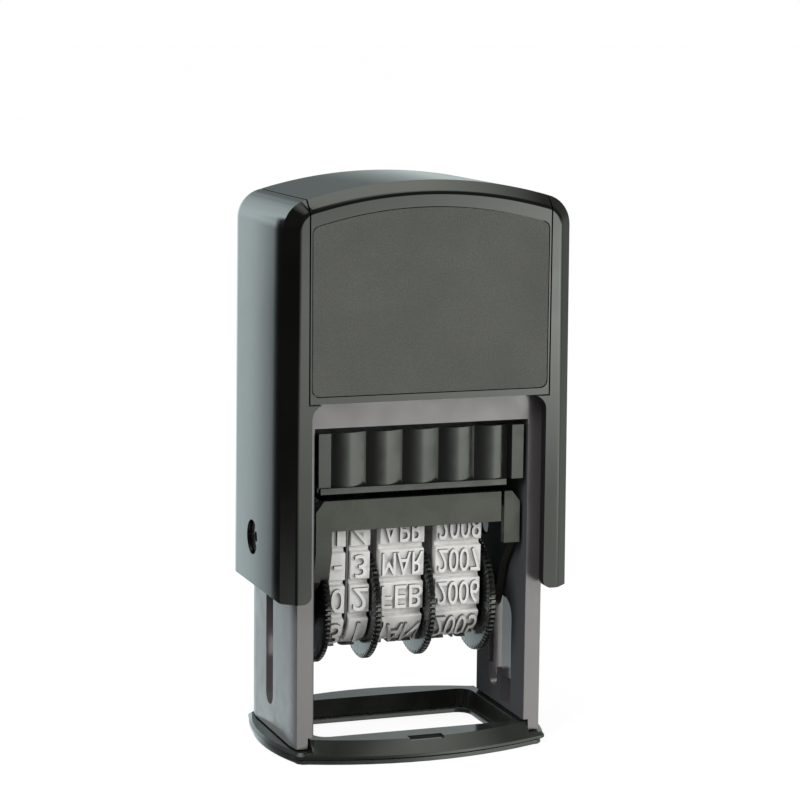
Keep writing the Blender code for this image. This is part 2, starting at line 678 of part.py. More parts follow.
def make_base(gloss, rim):
    low = -OVERRUN
    foot = slab("foot_rim", "Z", base_plan(0.0), (0.0, FOOT_HEIGHT), rim)
    cut(foot, loft("foot_window", [window_ring(low, 0.0), window_ring(FOOT_HEIGHT + OVERRUN, 0.0)]))

    seat = FOOT_HEIGHT + CLOSE_FIT
    levels = ((seat, FLANGE_MARGIN), ((seat + FLANGE_TOP) / 2, FLANGE_MARGIN), (RING_TOP, -RING_SETBACK))
    rings = [[(x, y, z) for x, y in base_plan(margin)] for z, margin in levels]
    flange = loft("base_ring", rings, gloss)
    side = FRAME_HALF_WIDTH - LEG_LIP - FIT
    reach = FOOT_SIDE_DEPTH + FOOT_BULGE + OVERRUN
    far = FOOT_HALF_WIDTH + FOOT_SIDE_BULGE + OVERRUN
    for name, limits in (("left_seat", (-far, -side)), ("right_seat", (side, far))):
        cut(flange, box(name, limits, (-reach, reach), (FLANGE_TOP, RING_TOP + OVERRUN)))
    rise = (RING_TOP + OVERRUN) / RING_TOP * WINDOW_SPREAD
    cut(flange, loft("ring_window", [window_ring(0.0, 0.0), window_ring(RING_TOP + OVERRUN, rise)]))
    mark = THUMB_MARK_HALF
    edge = FOOT_SIDE_DEPTH + FOOT_BULGE - RING_SETBACK
    depth = RING_TOP - THUMB_MARK_DEPTH
    mark_y = (-edge - OVERRUN, -edge + RING_SETBACK)
    cut(flange, box("thumb_mark", (-mark, mark), mark_y, (depth, RING_TOP + OVERRUN)))


# Ink cartridge and pad

def cartridge_plan():
    """The cartridge in plan, with rounded ribs across its front."""
    half = CARTRIDGE_HALF_WIDTH
    front = -FRAME_HALF_DEPTH
    points = [(half, FRAME_HALF_DEPTH), (-half, FRAME_HALF_DEPTH), (-half, front)]
    first = -RIB_COUNT * RIB_PITCH / 2
    points.append((first, front))
    for i in range(RIB_COUNT):
        start = first + i * RIB_PITCH
        for step in range(RIB_STEPS + 1):
            share = step / RIB_STEPS
            if i and step == 0:
                continue
            points.append((start + share * RIB_PITCH, front + RIB_HEIGHT * (1 - math.sin(math.pi * share))))
    points += [(-first, front), (half, front)]
    return points


def make_cartridge(ribbed, felt):
    ends = (CARTRIDGE_BOTTOM, CARTRIDGE_TOP)
    body = loft("pad_cartridge", [[(x, y, z) for x, y in cartridge_plan()] for z in ends], ribbed)
    half = CARTRIDGE_HALF_WIDTH - CLOSE_FIT
    lip_front = -FRAME_HALF_DEPTH - CARTRIDGE_LIP_PROUD
    lip_bottom = CARTRIDGE_BOTTOM - CARTRIDGE_LIP_DROP
    lip_y = (lip_front, lip_front + CARTRIDGE_LIP_DEPTH)
    lip_z = (lip_bottom, lip_bottom + CARTRIDGE_LIP)
    lip = box("cartridge_lip", (-half, half - CARTRIDGE_LIP_STOP), lip_y, lip_z)
    proud = CARTRIDGE_HALF_WIDTH + RUNNER_PROUD
    run = (-FRAME_HALF_DEPTH + RUNNER_STOP + FIT, FRAME_HALF_DEPTH - CLOSE_FIT)
    runners = box("runners", (-proud, proud), run, (RUNNER_BOTTOM, RUNNER_BOTTOM + RUNNER_HEIGHT))
    join(body, lip, runners)
    width = (-WELL_HALF_WIDTH, WELL_HALF_WIDTH)
    depth = (-WELL_HALF_DEPTH, WELL_HALF_DEPTH)
    cut(body, box("pad_well", width, depth, (CARTRIDGE_BOTTOM - OVERRUN, PAD_TOP + CLOSE_FIT)))
    pad_width = (-WELL_HALF_WIDTH + CLOSE_FIT, WELL_HALF_WIDTH - CLOSE_FIT)
    pad_depth = (-WELL_HALF_DEPTH + CLOSE_FIT, WELL_HALF_DEPTH - CLOSE_FIT)
    box("ink_pad", pad_width, pad_depth, (PAD_BOTTOM, PAD_TOP), felt)


# Return spring

def make_spring(steel):
    low = WELL_FLOOR + FIT + SPRING_WIRE_RADIUS
    high = CAP_CEILING - FIT - SPRING_WIRE_RADIUS
    count = int(SPRING_TURNS * POINTS_PER_TURN)
    curve = bpy.data.curves.new("spring", "CURVE")
    curve.dimensions = "3D"
    curve.bevel_depth = SPRING_WIRE_RADIUS
    curve.bevel_resolution = 1
    curve.use_fill_caps = True
    spline = curve.splines.new("POLY")
    spline.points.add(count)
    for i, point in enumerate(spline.points):
        turn = 2 * math.pi * i / POINTS_PER_TURN
        height = low + (high - low) * i / count
        point.co = (SPRING_RADIUS * math.cos(turn), SPRING_RADIUS * math.sin(turn), height, 1)
    spring = bpy.data.objects.new("return_spring", curve)
    PARTS.objects.link(spring)
    spring.data.materials.append(steel)
    least = (high - low) / SPRING_TURNS - 2 * SPRING_WIRE_RADIUS
    print("return_spring least gap between turns, mm:", round(least * 1000, 2))


# Belt paths

def belt_segments(pulleys, offset):
    """Straight runs and arcs round pulleys given as (y, z, radius), anticlockwise from +X."""
    spans = []
    count = len(pulleys)
    for i in range(count):
        y0, z0, r0 = pulleys[i]
        y1, z1, r1 = pulleys[(i + 1) % count]
        run = math.hypot(y1 - y0, z1 - z0)
        heading = math.atan2(z1 - z0, y1 - y0)
        normal = heading - math.pi / 2 + math.asin((r0 - r1) / run)
        spans.append(normal)
    segments = []
    for i in range(count):
        y, z, radius = pulleys[i]
        start = spans[i - 1]
        end = spans[i]
        while end < start:
            end += 2 * math.pi
        segments.append(("arc", y, z, radius + offset, start, end))
        y1, z1, r1 = pulleys[(i + 1) % count]
        r0 = radius + offset
        r1 = r1 + offset
        a = (y + r0 * math.cos(end), z + r0 * math.sin(end))
        b = (y1 + r1 * math.cos(end), z1 + r1 * math.sin(end))
        segments.append(("line", a, b, end))
    return segments


def segment_length(segment):
    if segment[0] == "arc":
        return segment[3] * (segment[5] - segment[4])
    return math.dist(segment[1], segment[2])


def belt_point(segments, distance):
    """The point and outward direction at a distance along the belt."""
    for segment in segments:
        length = segment_length(segment)
        if distance <= length:
            share = distance / length
            if segment[0] == "arc":
                angle = segment[4] + share * (segment[5] - segment[4])
                return (
                    segment[1] + segment[3] * math.cos(angle),
                    segment[2] + segment[3] * math.sin(angle),
                    angle,
                )
            a, b, angle = segment[1:]
            return (a[0] + share * (b[0] - a[0]), a[1] + share * (b[1] - a[1]), angle)
        distance -= length
    return belt_point(segments, 0.0)


def belt_pulleys():
    """What carries the bands: the print bridge, the front shoulder and the wheel hubs."""
    hub = WHEEL_Y + BAND_FRONT - PAD_HEIGHT - BAND_THICKNESS
    bridge_z = PRINT_FACE - PAD_HEIGHT - BAND_THICKNESS - BRIDGE_CORNER_RADIUS
    return [
        (WHEEL_Y, WHEEL_Z, hub),
        (BRIDGE_BACK, bridge_z, BRIDGE_CORNER_RADIUS),
        (BRIDGE_FRONT, bridge_z, BRIDGE_CORNER_RADIUS),
        (SHOULDER_Y, SHOULDER_Z, SHOULDER_RADIUS),
    ]


def belt_outline(offset, step):
    """The belt's line at an offset, as points about a step apart on the arcs."""
    points = []
    for segment in belt_segments(belt_pulleys(), offset):
        if segment[0] == "arc":
            count = max(2, math.ceil(segment_length(segment) / step))
            for i in range(count):
                angle = segment[4] + (segment[5] - segment[4]) * i / count
                y = segment[1] + segment[3] * math.cos(angle)
                z = segment[2] + segment[3] * math.sin(angle)
                points.append((y, z))
        else:
            points.append(segment[1])
    return points


def band_outer():
    """The outer side of a band: raised pads with grooves between them."""
    segments = belt_segments(belt_pulleys(), BAND_THICKNESS)
    length = sum(segment_length(segment) for segment in segments)
    pitch = length / PAD_COUNT
    print_line = segment_length(segments[0]) + segment_length(segments[1]) + segment_length(segments[2])
    print_line += segment_length(segments[3]) / 2 + PAD_PHASE
    points = []
    for i in range(PAD_COUNT):
        middle = print_line + i * pitch
        half = (pitch - PAD_GROOVE) / 2
        for share in (-1, *PAD_SHARES, 1):
            y, z, angle = belt_point(segments, (middle + share * half) % length)
            rises = (0.0, PAD_HEIGHT) if share == -1 else (PAD_HEIGHT, 0.0) if share == 1 else (PAD_HEIGHT,)
            for rise in rises:
                points.append((y + rise * math.cos(angle), z + rise * math.sin(angle)))
        y, z, angle = belt_point(segments, (middle + pitch / 2) % length)
        points.append((y, z))
    return points


def tooth_outline(radius):
    """The knurled edge of a thumb disc."""
    points = []
    for i in range(WHEEL_TEETH):
        for share, level in TOOTH_SHARES:
            angle = 2 * math.pi * (i + share) / WHEEL_TEETH
            reach = radius - WHEEL_TOOTH_DEPTH * level
            points.append((WHEEL_Y + reach * math.cos(angle), WHEEL_Z + reach * math.sin(angle)))
    return points


def make_wheel(name, disc, hub, mat):
    wheel = slab(name, "X", tooth_outline(WHEEL_RADIUS), disc, mat)
    radius = belt_pulleys()[0][2] - CLOSE_FIT
    inside = (disc[0] + disc[1]) / 2
    hub_span = (min(hub[0], inside), max(hub[1], inside))
    join(wheel, rod(name + "_hub", "X", (WHEEL_Y, WHEEL_Z), radius, hub_span))
    bore_span = (min(disc[0], hub[0]) - OVERRUN, max(disc[1], hub[1]) + OVERRUN)
    centre = (WHEEL_Y, WHEEL_Z)
    cut(wheel, rod(name + "_bore", "X", centre, WHEEL_BORE_RADIUS, bore_span, segments=PIN_SEGMENTS))
    wheel.data.transform(Matrix.Translation((0, -WHEEL_Y, -WHEEL_Z)))
    wheel.location = (0, WHEEL_Y, WHEEL_Z)


def along_shaft(shares):
    """Places in X from shares of the way to a side plate's inner face."""
    return tuple(share * PLATE_INNER for share in shares)


def make_bands(white, black, steel):
    inner = belt_outline(0.0, 2 * BAND_THICKNESS)
    outer = band_outer()
    sets = (
        ("tens", TENS_BAND_SHARES, TENS_DISC_SHARES),
        ("units", UNITS_BAND_SHARES, UNITS_DISC_SHARES),
        ("month", MONTH_BAND_SHARES, MONTH_DISC_SHARES),
        ("year", YEAR_BAND_SHARES, YEAR_DISC_SHARES),
    )
    for name, band_shares, disc_shares in sets:
        band = along_shaft(band_shares)
        disc = along_shaft(disc_shares)
        slab(name + "_band", "X", outer, band, white, holes=(inner,))
        if disc[0] < band[0]:
            hub = (disc[1], band[1] + CLOSE_FIT / 2)
        else:
            hub = (band[0], disc[0])
        make_wheel(name + "_wheel", disc, hub, black)

    middle = along_shaft([(TENS_BAND_SHARES[1] + UNITS_BAND_SHARES[0]) / 2])[0]
    half = DIVIDER_THICKNESS / 2
    edge = belt_outline(BAND_THICKNESS + PAD_HEIGHT / 2, 3 * BAND_THICKNESS)
    divider = slab("band_divider", "X", edge, (middle - half, middle + half), black)
    clear = OVERRUN + half
    bore_span = (middle - clear, middle + clear)
    cut(divider, rod("divider_bore", "X", (WHEEL_Y, WHEEL_Z), WHEEL_BORE_RADIUS, bore_span))
    cut(divider, bridge_solid("divider_bridge_slot", CLOSE_FIT))

    end = PLATE_OUTER - SHAFT_END_GAP
    rod("wheel_shaft", "X", (WHEEL_Y, WHEEL_Z), SHAFT_RADIUS, (-end, end), steel, segments=PIN_SEGMENTS)


def bridge_solid(name, margin, mat=None):
    """The bar inside the bands' heads, over which the date line prints."""
    back, front, shoulder = belt_pulleys()[1:]
    reach = back[2] - CLOSE_FIT + margin
    top_back = (back[0] + reach, back[1])
    points = arc((back[0], back[1]), reach, 0, 90)
    points += arc((front[0], front[1]), reach, 90, 160)
    low = BRIDGE_BAR_BOTTOM - margin
    rise = (low - shoulder[1]) / (front[1] - shoulder[1])
    low_front = shoulder[0] + (front[0] - shoulder[0]) * rise - reach
    points += [(low_front, low), (top_back[0], low)]
    end = PLATE_INNER - CLOSE_FIT
    return slab(name, "X", points, (-end, end), mat)


# Date unit carrier

def plate_outline(side):
    """The carrier from the side: a deep head at the axle, drawn in to a lobe at the wheel shaft."""
    front = -PLATE_FRONT
    high = PLATE_TOP + OVERRUN
    points = [(front, high), (front, PLATE_STEP_Z)]
    if side < 0:
        points += [(front + PLATE_HEEL_SETBACK, PLATE_HEEL_Z)]
    else:
        points += [(front + PLATE_STEP_Y, PLATE_STEP_Z), (-PLATE_WAIST_Y, PLATE_WAIST_Z)]
    points += arc((WHEEL_Y, WHEEL_Z), SHAFT_LOBE_RADIUS, 180 - LOBE_LEAN, 360 + LOBE_LEAN, 2 * ARC_STEPS)
    points += [(PLATE_BACK, PLATE_STEP_Z), (PLATE_BACK, high)]
    return points


def carrier_outline():
    """The carrier from the front, with its top corners cut off."""
    end = PLATE_OUTER
    low = WHEEL_Z - SHAFT_LOBE_RADIUS - OVERRUN
    return [
        (end, low),
        (end, PLATE_TOP - PLATE_CORNER_Z),
        (end - PLATE_CORNER_X, PLATE_TOP),
        (PLATE_CORNER_X - end, PLATE_TOP),
        (-end, PLATE_TOP - PLATE_CORNER_Z),
        (-end, low),
    ]


def carrier_part(name, side, keep_x, disc_face, mat):
    """One of the carrier's two pieces: a plate with its stretch of the front and rear bars."""
    front = -PLATE_FRONT - OVERRUN
    back = PLATE_BACK + OVERRUN
    low = WHEEL_Z - SHAFT_LOBE_RADIUS - 2 * OVERRUN
    high = PLATE_TOP + 2 * OVERRUN
    across = (-PLATE_OUTER - 2 * OVERRUN, PLATE_OUTER + 2 * OVERRUN)
    part = slab(name, "Y", carrier_outline(), (front, back), mat)
    boolean(part, "INTERSECT", slab(name + "_profile", "X", plate_outline(side), across))
    boolean(part, "INTERSECT", box(name + "_keep", keep_x, (front - OVERRUN, back + OVERRUN), (low, high)))
    inner = PLATE_INNER
    bay = (BAR_THICKNESS - PLATE_FRONT, PLATE_BACK - BAR_THICKNESS)
    middle = (bay[0] + bay[1]) / 2
    cut(part, box(name + "_bay", (-inner, inner), bay, (low - OVERRUN, high + OVERRUN)))
    mouth = (-FLANGE_INNER, FLANGE_INNER)
    cut(part, box(name + "_mouth", mouth, (front - 2 * OVERRUN, middle), (low - 2 * OVERRUN, BAR_BOTTOM)))
    cut(part, box(name + "_rear_mouth", mouth, (middle, back + 2 * OVERRUN), (low - 2 * OVERRUN, BAR_BOTTOM)))

    outer = side * PLATE_OUTER
    if side < 0:
        cam_span = (-PLATE_OUTER - CAM_PIN_LENGTH, PLATE_THICKNESS / 2 - PLATE_OUTER)
        centre = (AXLE_Y + CAM_ARM, AXLE_Z)
        join(part, rod(name + "_cam_pin", "X", centre, CAM_PIN_RADIUS, cam_span, None, PIN_SEGMENTS))
    boss_span = sorted((outer - side * PLATE_THICKNESS / 2, disc_face + side * CLOSE_FIT))
    wheels = (WHEEL_Y, WHEEL_Z)
    boss_radius = SHAFT_LOBE_RADIUS * BOSS_SHARE
    join(part, rod(name + "_boss", "X", wheels, boss_radius, boss_span, None, PIN_SEGMENTS))
    bores = (("_axle_bore", (AXLE_Y, AXLE_Z), PIN_RADIUS), ("_shaft_bore", wheels, SHAFT_RADIUS))
    for tail, centre, radius in bores:
        cut(part, rod(name + tail, "X", centre, radius + CLOSE_FIT, across, None, PIN_SEGMENTS))


def make_carrier(dark):
    far = PLATE_OUTER + OVERRUN
    carrier_part("type_carrier", -1, (-far, BAR_GAP_X), along_shaft(TENS_DISC_SHARES)[0], dark)
    end_face = along_shaft(YEAR_DISC_SHARES)[1]
    carrier_part("carrier_end_plate", 1, (BAR_GAP_X + BAR_END_GAP, far), end_face, dark)


def make_text_block(dark, rubber):
    """The block behind the bands, with a bare rubber text plate on it."""
    face = PRINT_FACE
    seat = face - TEXT_PLATE_THICKNESS
    low = seat - TEXT_BLOCK_HEIGHT
    start, end = belt_segments(belt_pulleys(), BAND_THICKNESS + PAD_HEIGHT + FIT)[1][1:3]
    lean = start[0] + (end[0] - start[0]) * (low - start[1]) / (end[1] - start[1]) - TEXT_FRONT
    span = (-TEXT_HALF_WIDTH, TEXT_HALF_WIDTH)
    outline = [(TEXT_FRONT, seat), (TEXT_FRONT + lean, low), (TEXT_BACK + TEXT_HEEL, low)]
    outline += [(TEXT_BACK + TEXT_HEEL, low + TEXT_BLOCK_HEIGHT / 3), (TEXT_BACK, seat)]
    slab("text_block", "X", outline, span, dark)
    box("text_plate", span, (TEXT_FRONT, TEXT_BACK), (seat + CLOSE_FIT, face), rubber)


def make_pins(black):
    """Flanged pins that carry the date unit in the cap, through the frame's slots."""
    for name, side in (("left", -1), ("right", 1)):
        wall = FRAME_HALF_WIDTH + 2 * FIT
        head = CAP_WIDTH / 2 - PIN_RECESS
        tip = PLATE_INNER + CLOSE_FIT
        centre = (AXLE_Y, AXLE_Z)
        shank_span = sorted((side * tip, side * (wall + FIT)))
        pin = rod("pivot_pin_" + name, "X", centre, PIN_RADIUS, shank_span, black, PIN_SEGMENTS)
        head_span = sorted((side * wall, side * head))
        join(pin, rod("pin_head_" + name, "X", centre, PIN_HEAD_RADIUS, head_span, None, PIN_SEGMENTS))
        bore_span = sorted((side * (head - PIN_BORE_DEPTH), side * (head + OVERRUN)))
        cut(pin, rod("pin_bore_" + name, "X", centre, PIN_BORE_RADIUS, bore_span, None, PIN_SEGMENTS // 2))


def main():
    clear_scene()
    black = material("gloss_black_plastic", (0.012, 0.012, 0.011), 0.12)
    dark_panel = material("grained_panel", (0.105, 0.107, 0.098), 0.55)
    grey = material("satin_grey_plastic", (0.25, 0.235, 0.24), 0.4)
    base_gloss = material("dark_base_plastic", (0.065, 0.072, 0.062), 0.22)
    rim = material("grey_foot", (0.27, 0.275, 0.265), 0.35)
    ribbed = material("ribbed_dark_plastic", (0.115, 0.12, 0.115), 0.35)
    felt = material("ink_felt", (0.01, 0.01, 0.02), 0.9)
    carrier = material("carrier_plastic", (0.09, 0.091, 0.08), 0.35)
    wheel = material("wheel_plastic", (0.03, 0.033, 0.03), 0.35)
    band = material("band_rubber", (0.69, 0.68, 0.65), 0.6)
    rubber = material("text_rubber", (0.2, 0.05, 0.04), 0.7)
    steel = material("steel", (0.6, 0.6, 0.6), 0.3, 1.0)
    make_base(base_gloss, rim)
    make_frame(grey)
    make_cap(black, dark_panel)
    make_cartridge(ribbed, felt)
    make_spring(steel)
    make_bands(band, wheel, steel)
    bridge_solid("band_bridge", 0.0, carrier)
    make_text_block(carrier, rubber)
    make_carrier(carrier)
    make_pins(wheel)
    for obj in PARTS.objects:
        if obj.type == "MESH":
            shade_round(obj)


main()
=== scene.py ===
# Self-inking date stamp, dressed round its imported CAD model. Metres, +Z up, front at -Y.
import json
import math

import bmesh
import bpy
from mathutils import Matrix, Vector


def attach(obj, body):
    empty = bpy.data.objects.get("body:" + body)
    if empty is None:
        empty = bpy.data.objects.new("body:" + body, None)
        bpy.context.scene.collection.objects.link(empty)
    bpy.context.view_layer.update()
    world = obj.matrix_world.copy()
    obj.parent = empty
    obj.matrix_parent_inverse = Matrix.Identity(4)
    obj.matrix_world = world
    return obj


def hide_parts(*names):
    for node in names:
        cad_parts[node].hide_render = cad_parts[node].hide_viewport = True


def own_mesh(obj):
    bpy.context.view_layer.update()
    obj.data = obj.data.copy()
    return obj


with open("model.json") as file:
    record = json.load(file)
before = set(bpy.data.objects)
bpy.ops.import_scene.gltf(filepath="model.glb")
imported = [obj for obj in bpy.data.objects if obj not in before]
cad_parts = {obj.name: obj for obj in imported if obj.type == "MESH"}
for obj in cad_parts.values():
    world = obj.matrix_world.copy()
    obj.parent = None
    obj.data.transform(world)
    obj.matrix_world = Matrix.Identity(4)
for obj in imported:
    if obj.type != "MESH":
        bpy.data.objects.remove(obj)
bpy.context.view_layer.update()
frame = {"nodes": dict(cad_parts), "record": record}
MM = 0.001
SLOTS = {row["node"]: row["material_slot"] for row in frame["record"]["subparts"]}
BODIES = {node: body for body, nodes in frame["record"]["behaviour"]["bodies"].items() for node in nodes}

# Sizes repeated from the CAD, in millimetres
AXLE_Y, AXLE_Z = 1.4, 29.75
PRINT_REACH = 10.25
PRINT_FACE = AXLE_Z + PRINT_REACH

CAP_WIDTH, CAP_DEPTH, CAP_TOP, CAP_BOTTOM = 42.0, 27.3, 80.5, 23.1
CAP_DRAFT, CAP_BACK_DROP, CAP_ARCH_RADIUS, CAP_SHOULDER_RADIUS = 0.3, 0.3, 64.0, 4.2
CAP_FRONT_BEVEL, CAP_TOP_BEVEL, CAP_BACK_RADIUS = 1.75, 1.5, 4.5
CAP_CAVITY_HALF, CAP_WALL, CAP_CEILING, CAP_CEILING_CHAMFER = 18.65, 1.6, 74.5, 2.0
CAP_WINDOW_HALF, CAP_WINDOW_TOP, CAP_WINDOW_RADIUS, CAP_WINDOW_FLARE = 17.0, 50.5, 2.0, 1.2
CAP_HOLE_RADIUS, SPIGOT_RADIUS, SPIGOT_LENGTH = 2.45, 4.3, 4.0
# The cap's rolled front edge: how far behind the front, and how much more than the bevel it draws in
EDGE_ROLL = ((0.0, 0.42), (0.02, 0.24), (0.08, 0.07), (0.17, -0.08), (0.3, -0.23))
# The sides crown to the front edge: sink, run and power of each curve, on faces this square to X
SIDE_CROWNS, SIDE_FACING = ((0.31, 18.0, 3.0), (0.25, 4.0, 2.0)), (0.9, 0.95)
COVER_HALF_WIDTH, COVER_THICKNESS, COVER_GAP = 17.4, 1.1, 0.2
PANEL_HALF_WIDTH, PANEL_BOTTOM, PANEL_TOP, PANEL_CORNER = 17.0, 51.6, 76.9, 1.1
PANEL_THICKNESS, PANEL_ARCH_RADIUS, PANEL_GAP = 0.45, 58.0, 0.2

CARTRIDGE_HALF_WIDTH, CARTRIDGE_HALF_DEPTH, CARTRIDGE_BOTTOM, CARTRIDGE_TOP = 15.05, 10.4, 38.3, 46.0
RIB_COUNT, RIB_PITCH, RIB_HEIGHT = 5, 5.3, 0.9
LIP_X, LIP_Y, LIP_Z, LIP_LEAN, LIP_CHIN = (-14.85, 12.45), (-10.7, -9.2), (37.55, 38.45), 0.04, 0.15
RUNNER_Z, RUNNER_PROUD, RUNNER_STOP, RUNNER_SHORT = (41.2, 42.4), 1.4, 1.8, 0.2
PAD_WELL, PAD_Z, PAD_CLEARANCE = (13.7, 8.5), (40.3, 43.2), 0.2
PAD_SWELL, PAD_SWELL_SHARE = 0.25, 0.18

WHEEL_Y, WHEEL_Z, WHEEL_RADIUS = -1.0, 20.3, 8.35
WHEEL_TEETH, TOOTH_DEPTH, WHEEL_BORE, WHEEL_CHAMFER = 70, 0.5, 1.1, 0.12
# One tooth round the rim: shares of its pitch, and whether each is on the crest
TOOTH_PROFILE = ((0.0, False), (0.14, False), (0.3, True), (0.5, True), (0.7, True), (0.86, False))
# The disc's outer face is dished between a raised ring round the bore and its rim
DISH_DEPTH, BORE_RING, RING_FLANK, RIM_RADIUS = 0.2, (2.7, 3.3), 0.2, 6.9
BAND_THICKNESS, PAD_HEIGHT, PAD_COUNT, PAD_GROOVE, PAD_PHASE = 0.8, 0.9, 12, 0.9, 0.75
BAND_FLANK, BELT_STEP = 0.12, 0.6
HUB_RADIUS, HUB_IN_BAND, HUB_REACH = 4.1, 0.2, 0.1
BRIDGE_BACK, BRIDGE_FRONT, BRIDGE_RADIUS = -0.6, -1.4, 0.7
SHOULDER_Y, SHOULDER_Z, SHOULDER_RADIUS = -4.7, 33.0, 1.0
# Each band's span in X, and its disc's
BANDS = {
    "tens": ((-12.35, -10.0), (-13.5, -12.55)),
    "units": ((-9.27, -6.41), (-6.18, -5.18)),
    "month": ((-4.94, 1.57), (1.8, 2.8)),
    "year": ((3.36, 10.1), (10.75, 11.85)),
}
# What each band reads, pad by pad from the print face round
LEGENDS = {
    "tens": ["3", "2", "1", "-", "0", "3", "2", "1", "0", "-", "3", "2"],
    "units": ["6", "5", "4", "3", "2", "1", "0", "-", "-", "9", "8", "7"],
    "month": ["JUN", "MAY", "APR", "MAR", "FEB", "JAN", "DEC", "NOV", "OCT", "SEP", "AUG", "JUL"],
    "year": [str(year) for year in (2010, 2009, 2008, 2007, 2006, 2005, 2016, 2015, 2014, 2013, 2012, 2011)],
}
TYPE_HEIGHT, TYPE_RISE, TYPE_SUNK, TYPE_MARGIN, TYPE_EDGE = 3.55, 0.5, 0.05, 0.45, 0.05
# Of the built-in font at size 1: a capital's height, how far strokes grow, the gap that closes
GLYPH_HEIGHT, GLYPH_BOLDER, GLYPH_WELD = 0.75, 0.004, 0.0005
TYPE_WIDEST = 1.05
INKED_DEPTH, INK_FADE, INK_RAGGED = 5.0, 0.7, 1.6

# The latch's recess in the right leg's inner face
RECESS_X, RECESS_Y, RECESS_Z, RECESS_RADIUS = (15.2, 16.3), (-5.5, 3.6), (8.6, 19.6), 2.6
SPRING_RADIUS, WIRE_RADIUS, SPRING_TURNS, CLOSED_TURNS = 5.4, 0.5, 5, 0.75
SPRING_Z = (48.2, 74.2)

# How far a cutter runs past what it cuts, and how far a window's cutter goes into the cavity
OVERRUN, WINDOW_OVERLAP = 2, 0.3
# Steps round the cap's shoulders, arch and back, the panel's arch, and every other corner
SHOULDER_STEPS, ARCH_STEPS, BACK_STEPS, PANEL_ARCH_STEPS, CORNER_STEPS = 10, 40, 10, 30, 8
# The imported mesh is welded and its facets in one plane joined, in degrees, before its edges are broken
WELD, FLAT_ANGLE = 0.004, 0.4


# Materials

# A metre in millimetres: METRE / 14 is the scale of a pattern with 14 mm grains. A tool's grain, felt fibres and
# the lines on drawn wire are too fine to show, so they are drawn as coarse as 0.2 to 0.6 mm
METRE = 1000
# The two values that a noise mostly lies between
CALM, BUSY = 0.35, 0.65
# Painted shade: how softly it ends across and along, and the roughness and specular level it gives
SHADE_EDGE_ACROSS, SHADE_EDGE, SHADE_ROUGHNESS, SHADE_SPECULAR = 0.04, 0.1, 0.85, 0.12
# Painted shade, darker, on the legs' inner faces and the inside of the end plates, where they lie in shade: half
# width, front, top and colour
FRAME_PAINTED_SHADE = (15.7, -14.0, 46.0, "#4a4b4e")
CARRIER_PAINTED_SHADE = (13.97, -8.2, 45.0, "#121312")
ABS = {"IOR": 1.54}
GRAINED_ABS = {"IOR": 1.54, "Specular IOR Level": 0.35}
CARRIER_ABS = {"IOR": 1.54, "Specular IOR Level": 0.38}
FRAME_ABS = {"IOR": 1.54, "Specular IOR Level": 1.0, "Specular Tint": (1.0, 0.95, 1.0, 1.0)}
ACETAL = {"IOR": 1.48, "Specular IOR Level": 1.0}


def linear(colour):
    """The linear RGBA of an sRGB hex colour."""
    parts = [int(colour[i:i + 2], 16) / 255 for i in (1, 3, 5)]
    return (*[c / 12.92 if c <= 0.04045 else ((c + 0.055) / 1.055) ** 2.4 for c in parts], 1.0)


def add(tree, kind, settings=None, links=None):
    """Adds a node with its settings and links, and gives its outputs.

    A setting is an attribute, a socket, or the stops of a colour ramp as places with a hex colour or grey level.
    Sockets by number: a map range runs from 1 and 2 to 3 and 4, a mix has its share in 0 and its colours in 6 and 7.
    """
    made = tree.nodes.new("ShaderNode" + kind)
    for key, value in (settings or {}).items():
        if key == "stops":
            elements = made.color_ramp.elements
            while len(elements) < len(value):
                elements.new(0.5)
            for element, (place, level) in zip(elements, value):
                element.position = place
                element.color = linear(level) if isinstance(level, str) else (level, level, level, 1.0)
        elif isinstance(key, str) and hasattr(made, key):
            setattr(made, key, value)
        else:
            made.inputs[key].default_value = value
    for key, source in (links or {}).items():
        tree.links.new(source, made.inputs[key])
    return made.outputs


def new_material(name, shader_settings):
    """A material with its principled shader set, its tree and the object's coordinates."""
    made = bpy.data.materials.new(name)
    made.use_nodes = True
    tree = made.node_tree
    for key, value in shader_settings.items():
        tree.nodes["Principled BSDF"].inputs[key].default_value = value
    return made, tree, add(tree, "TexCoord")["Object"]


def finished(made, links):
    """The material with what its patterns give linked to its principled shader."""
    for key, source in links.items():
        made.node_tree.links.new(source, made.node_tree.nodes["Principled BSDF"].inputs[key])
    return made


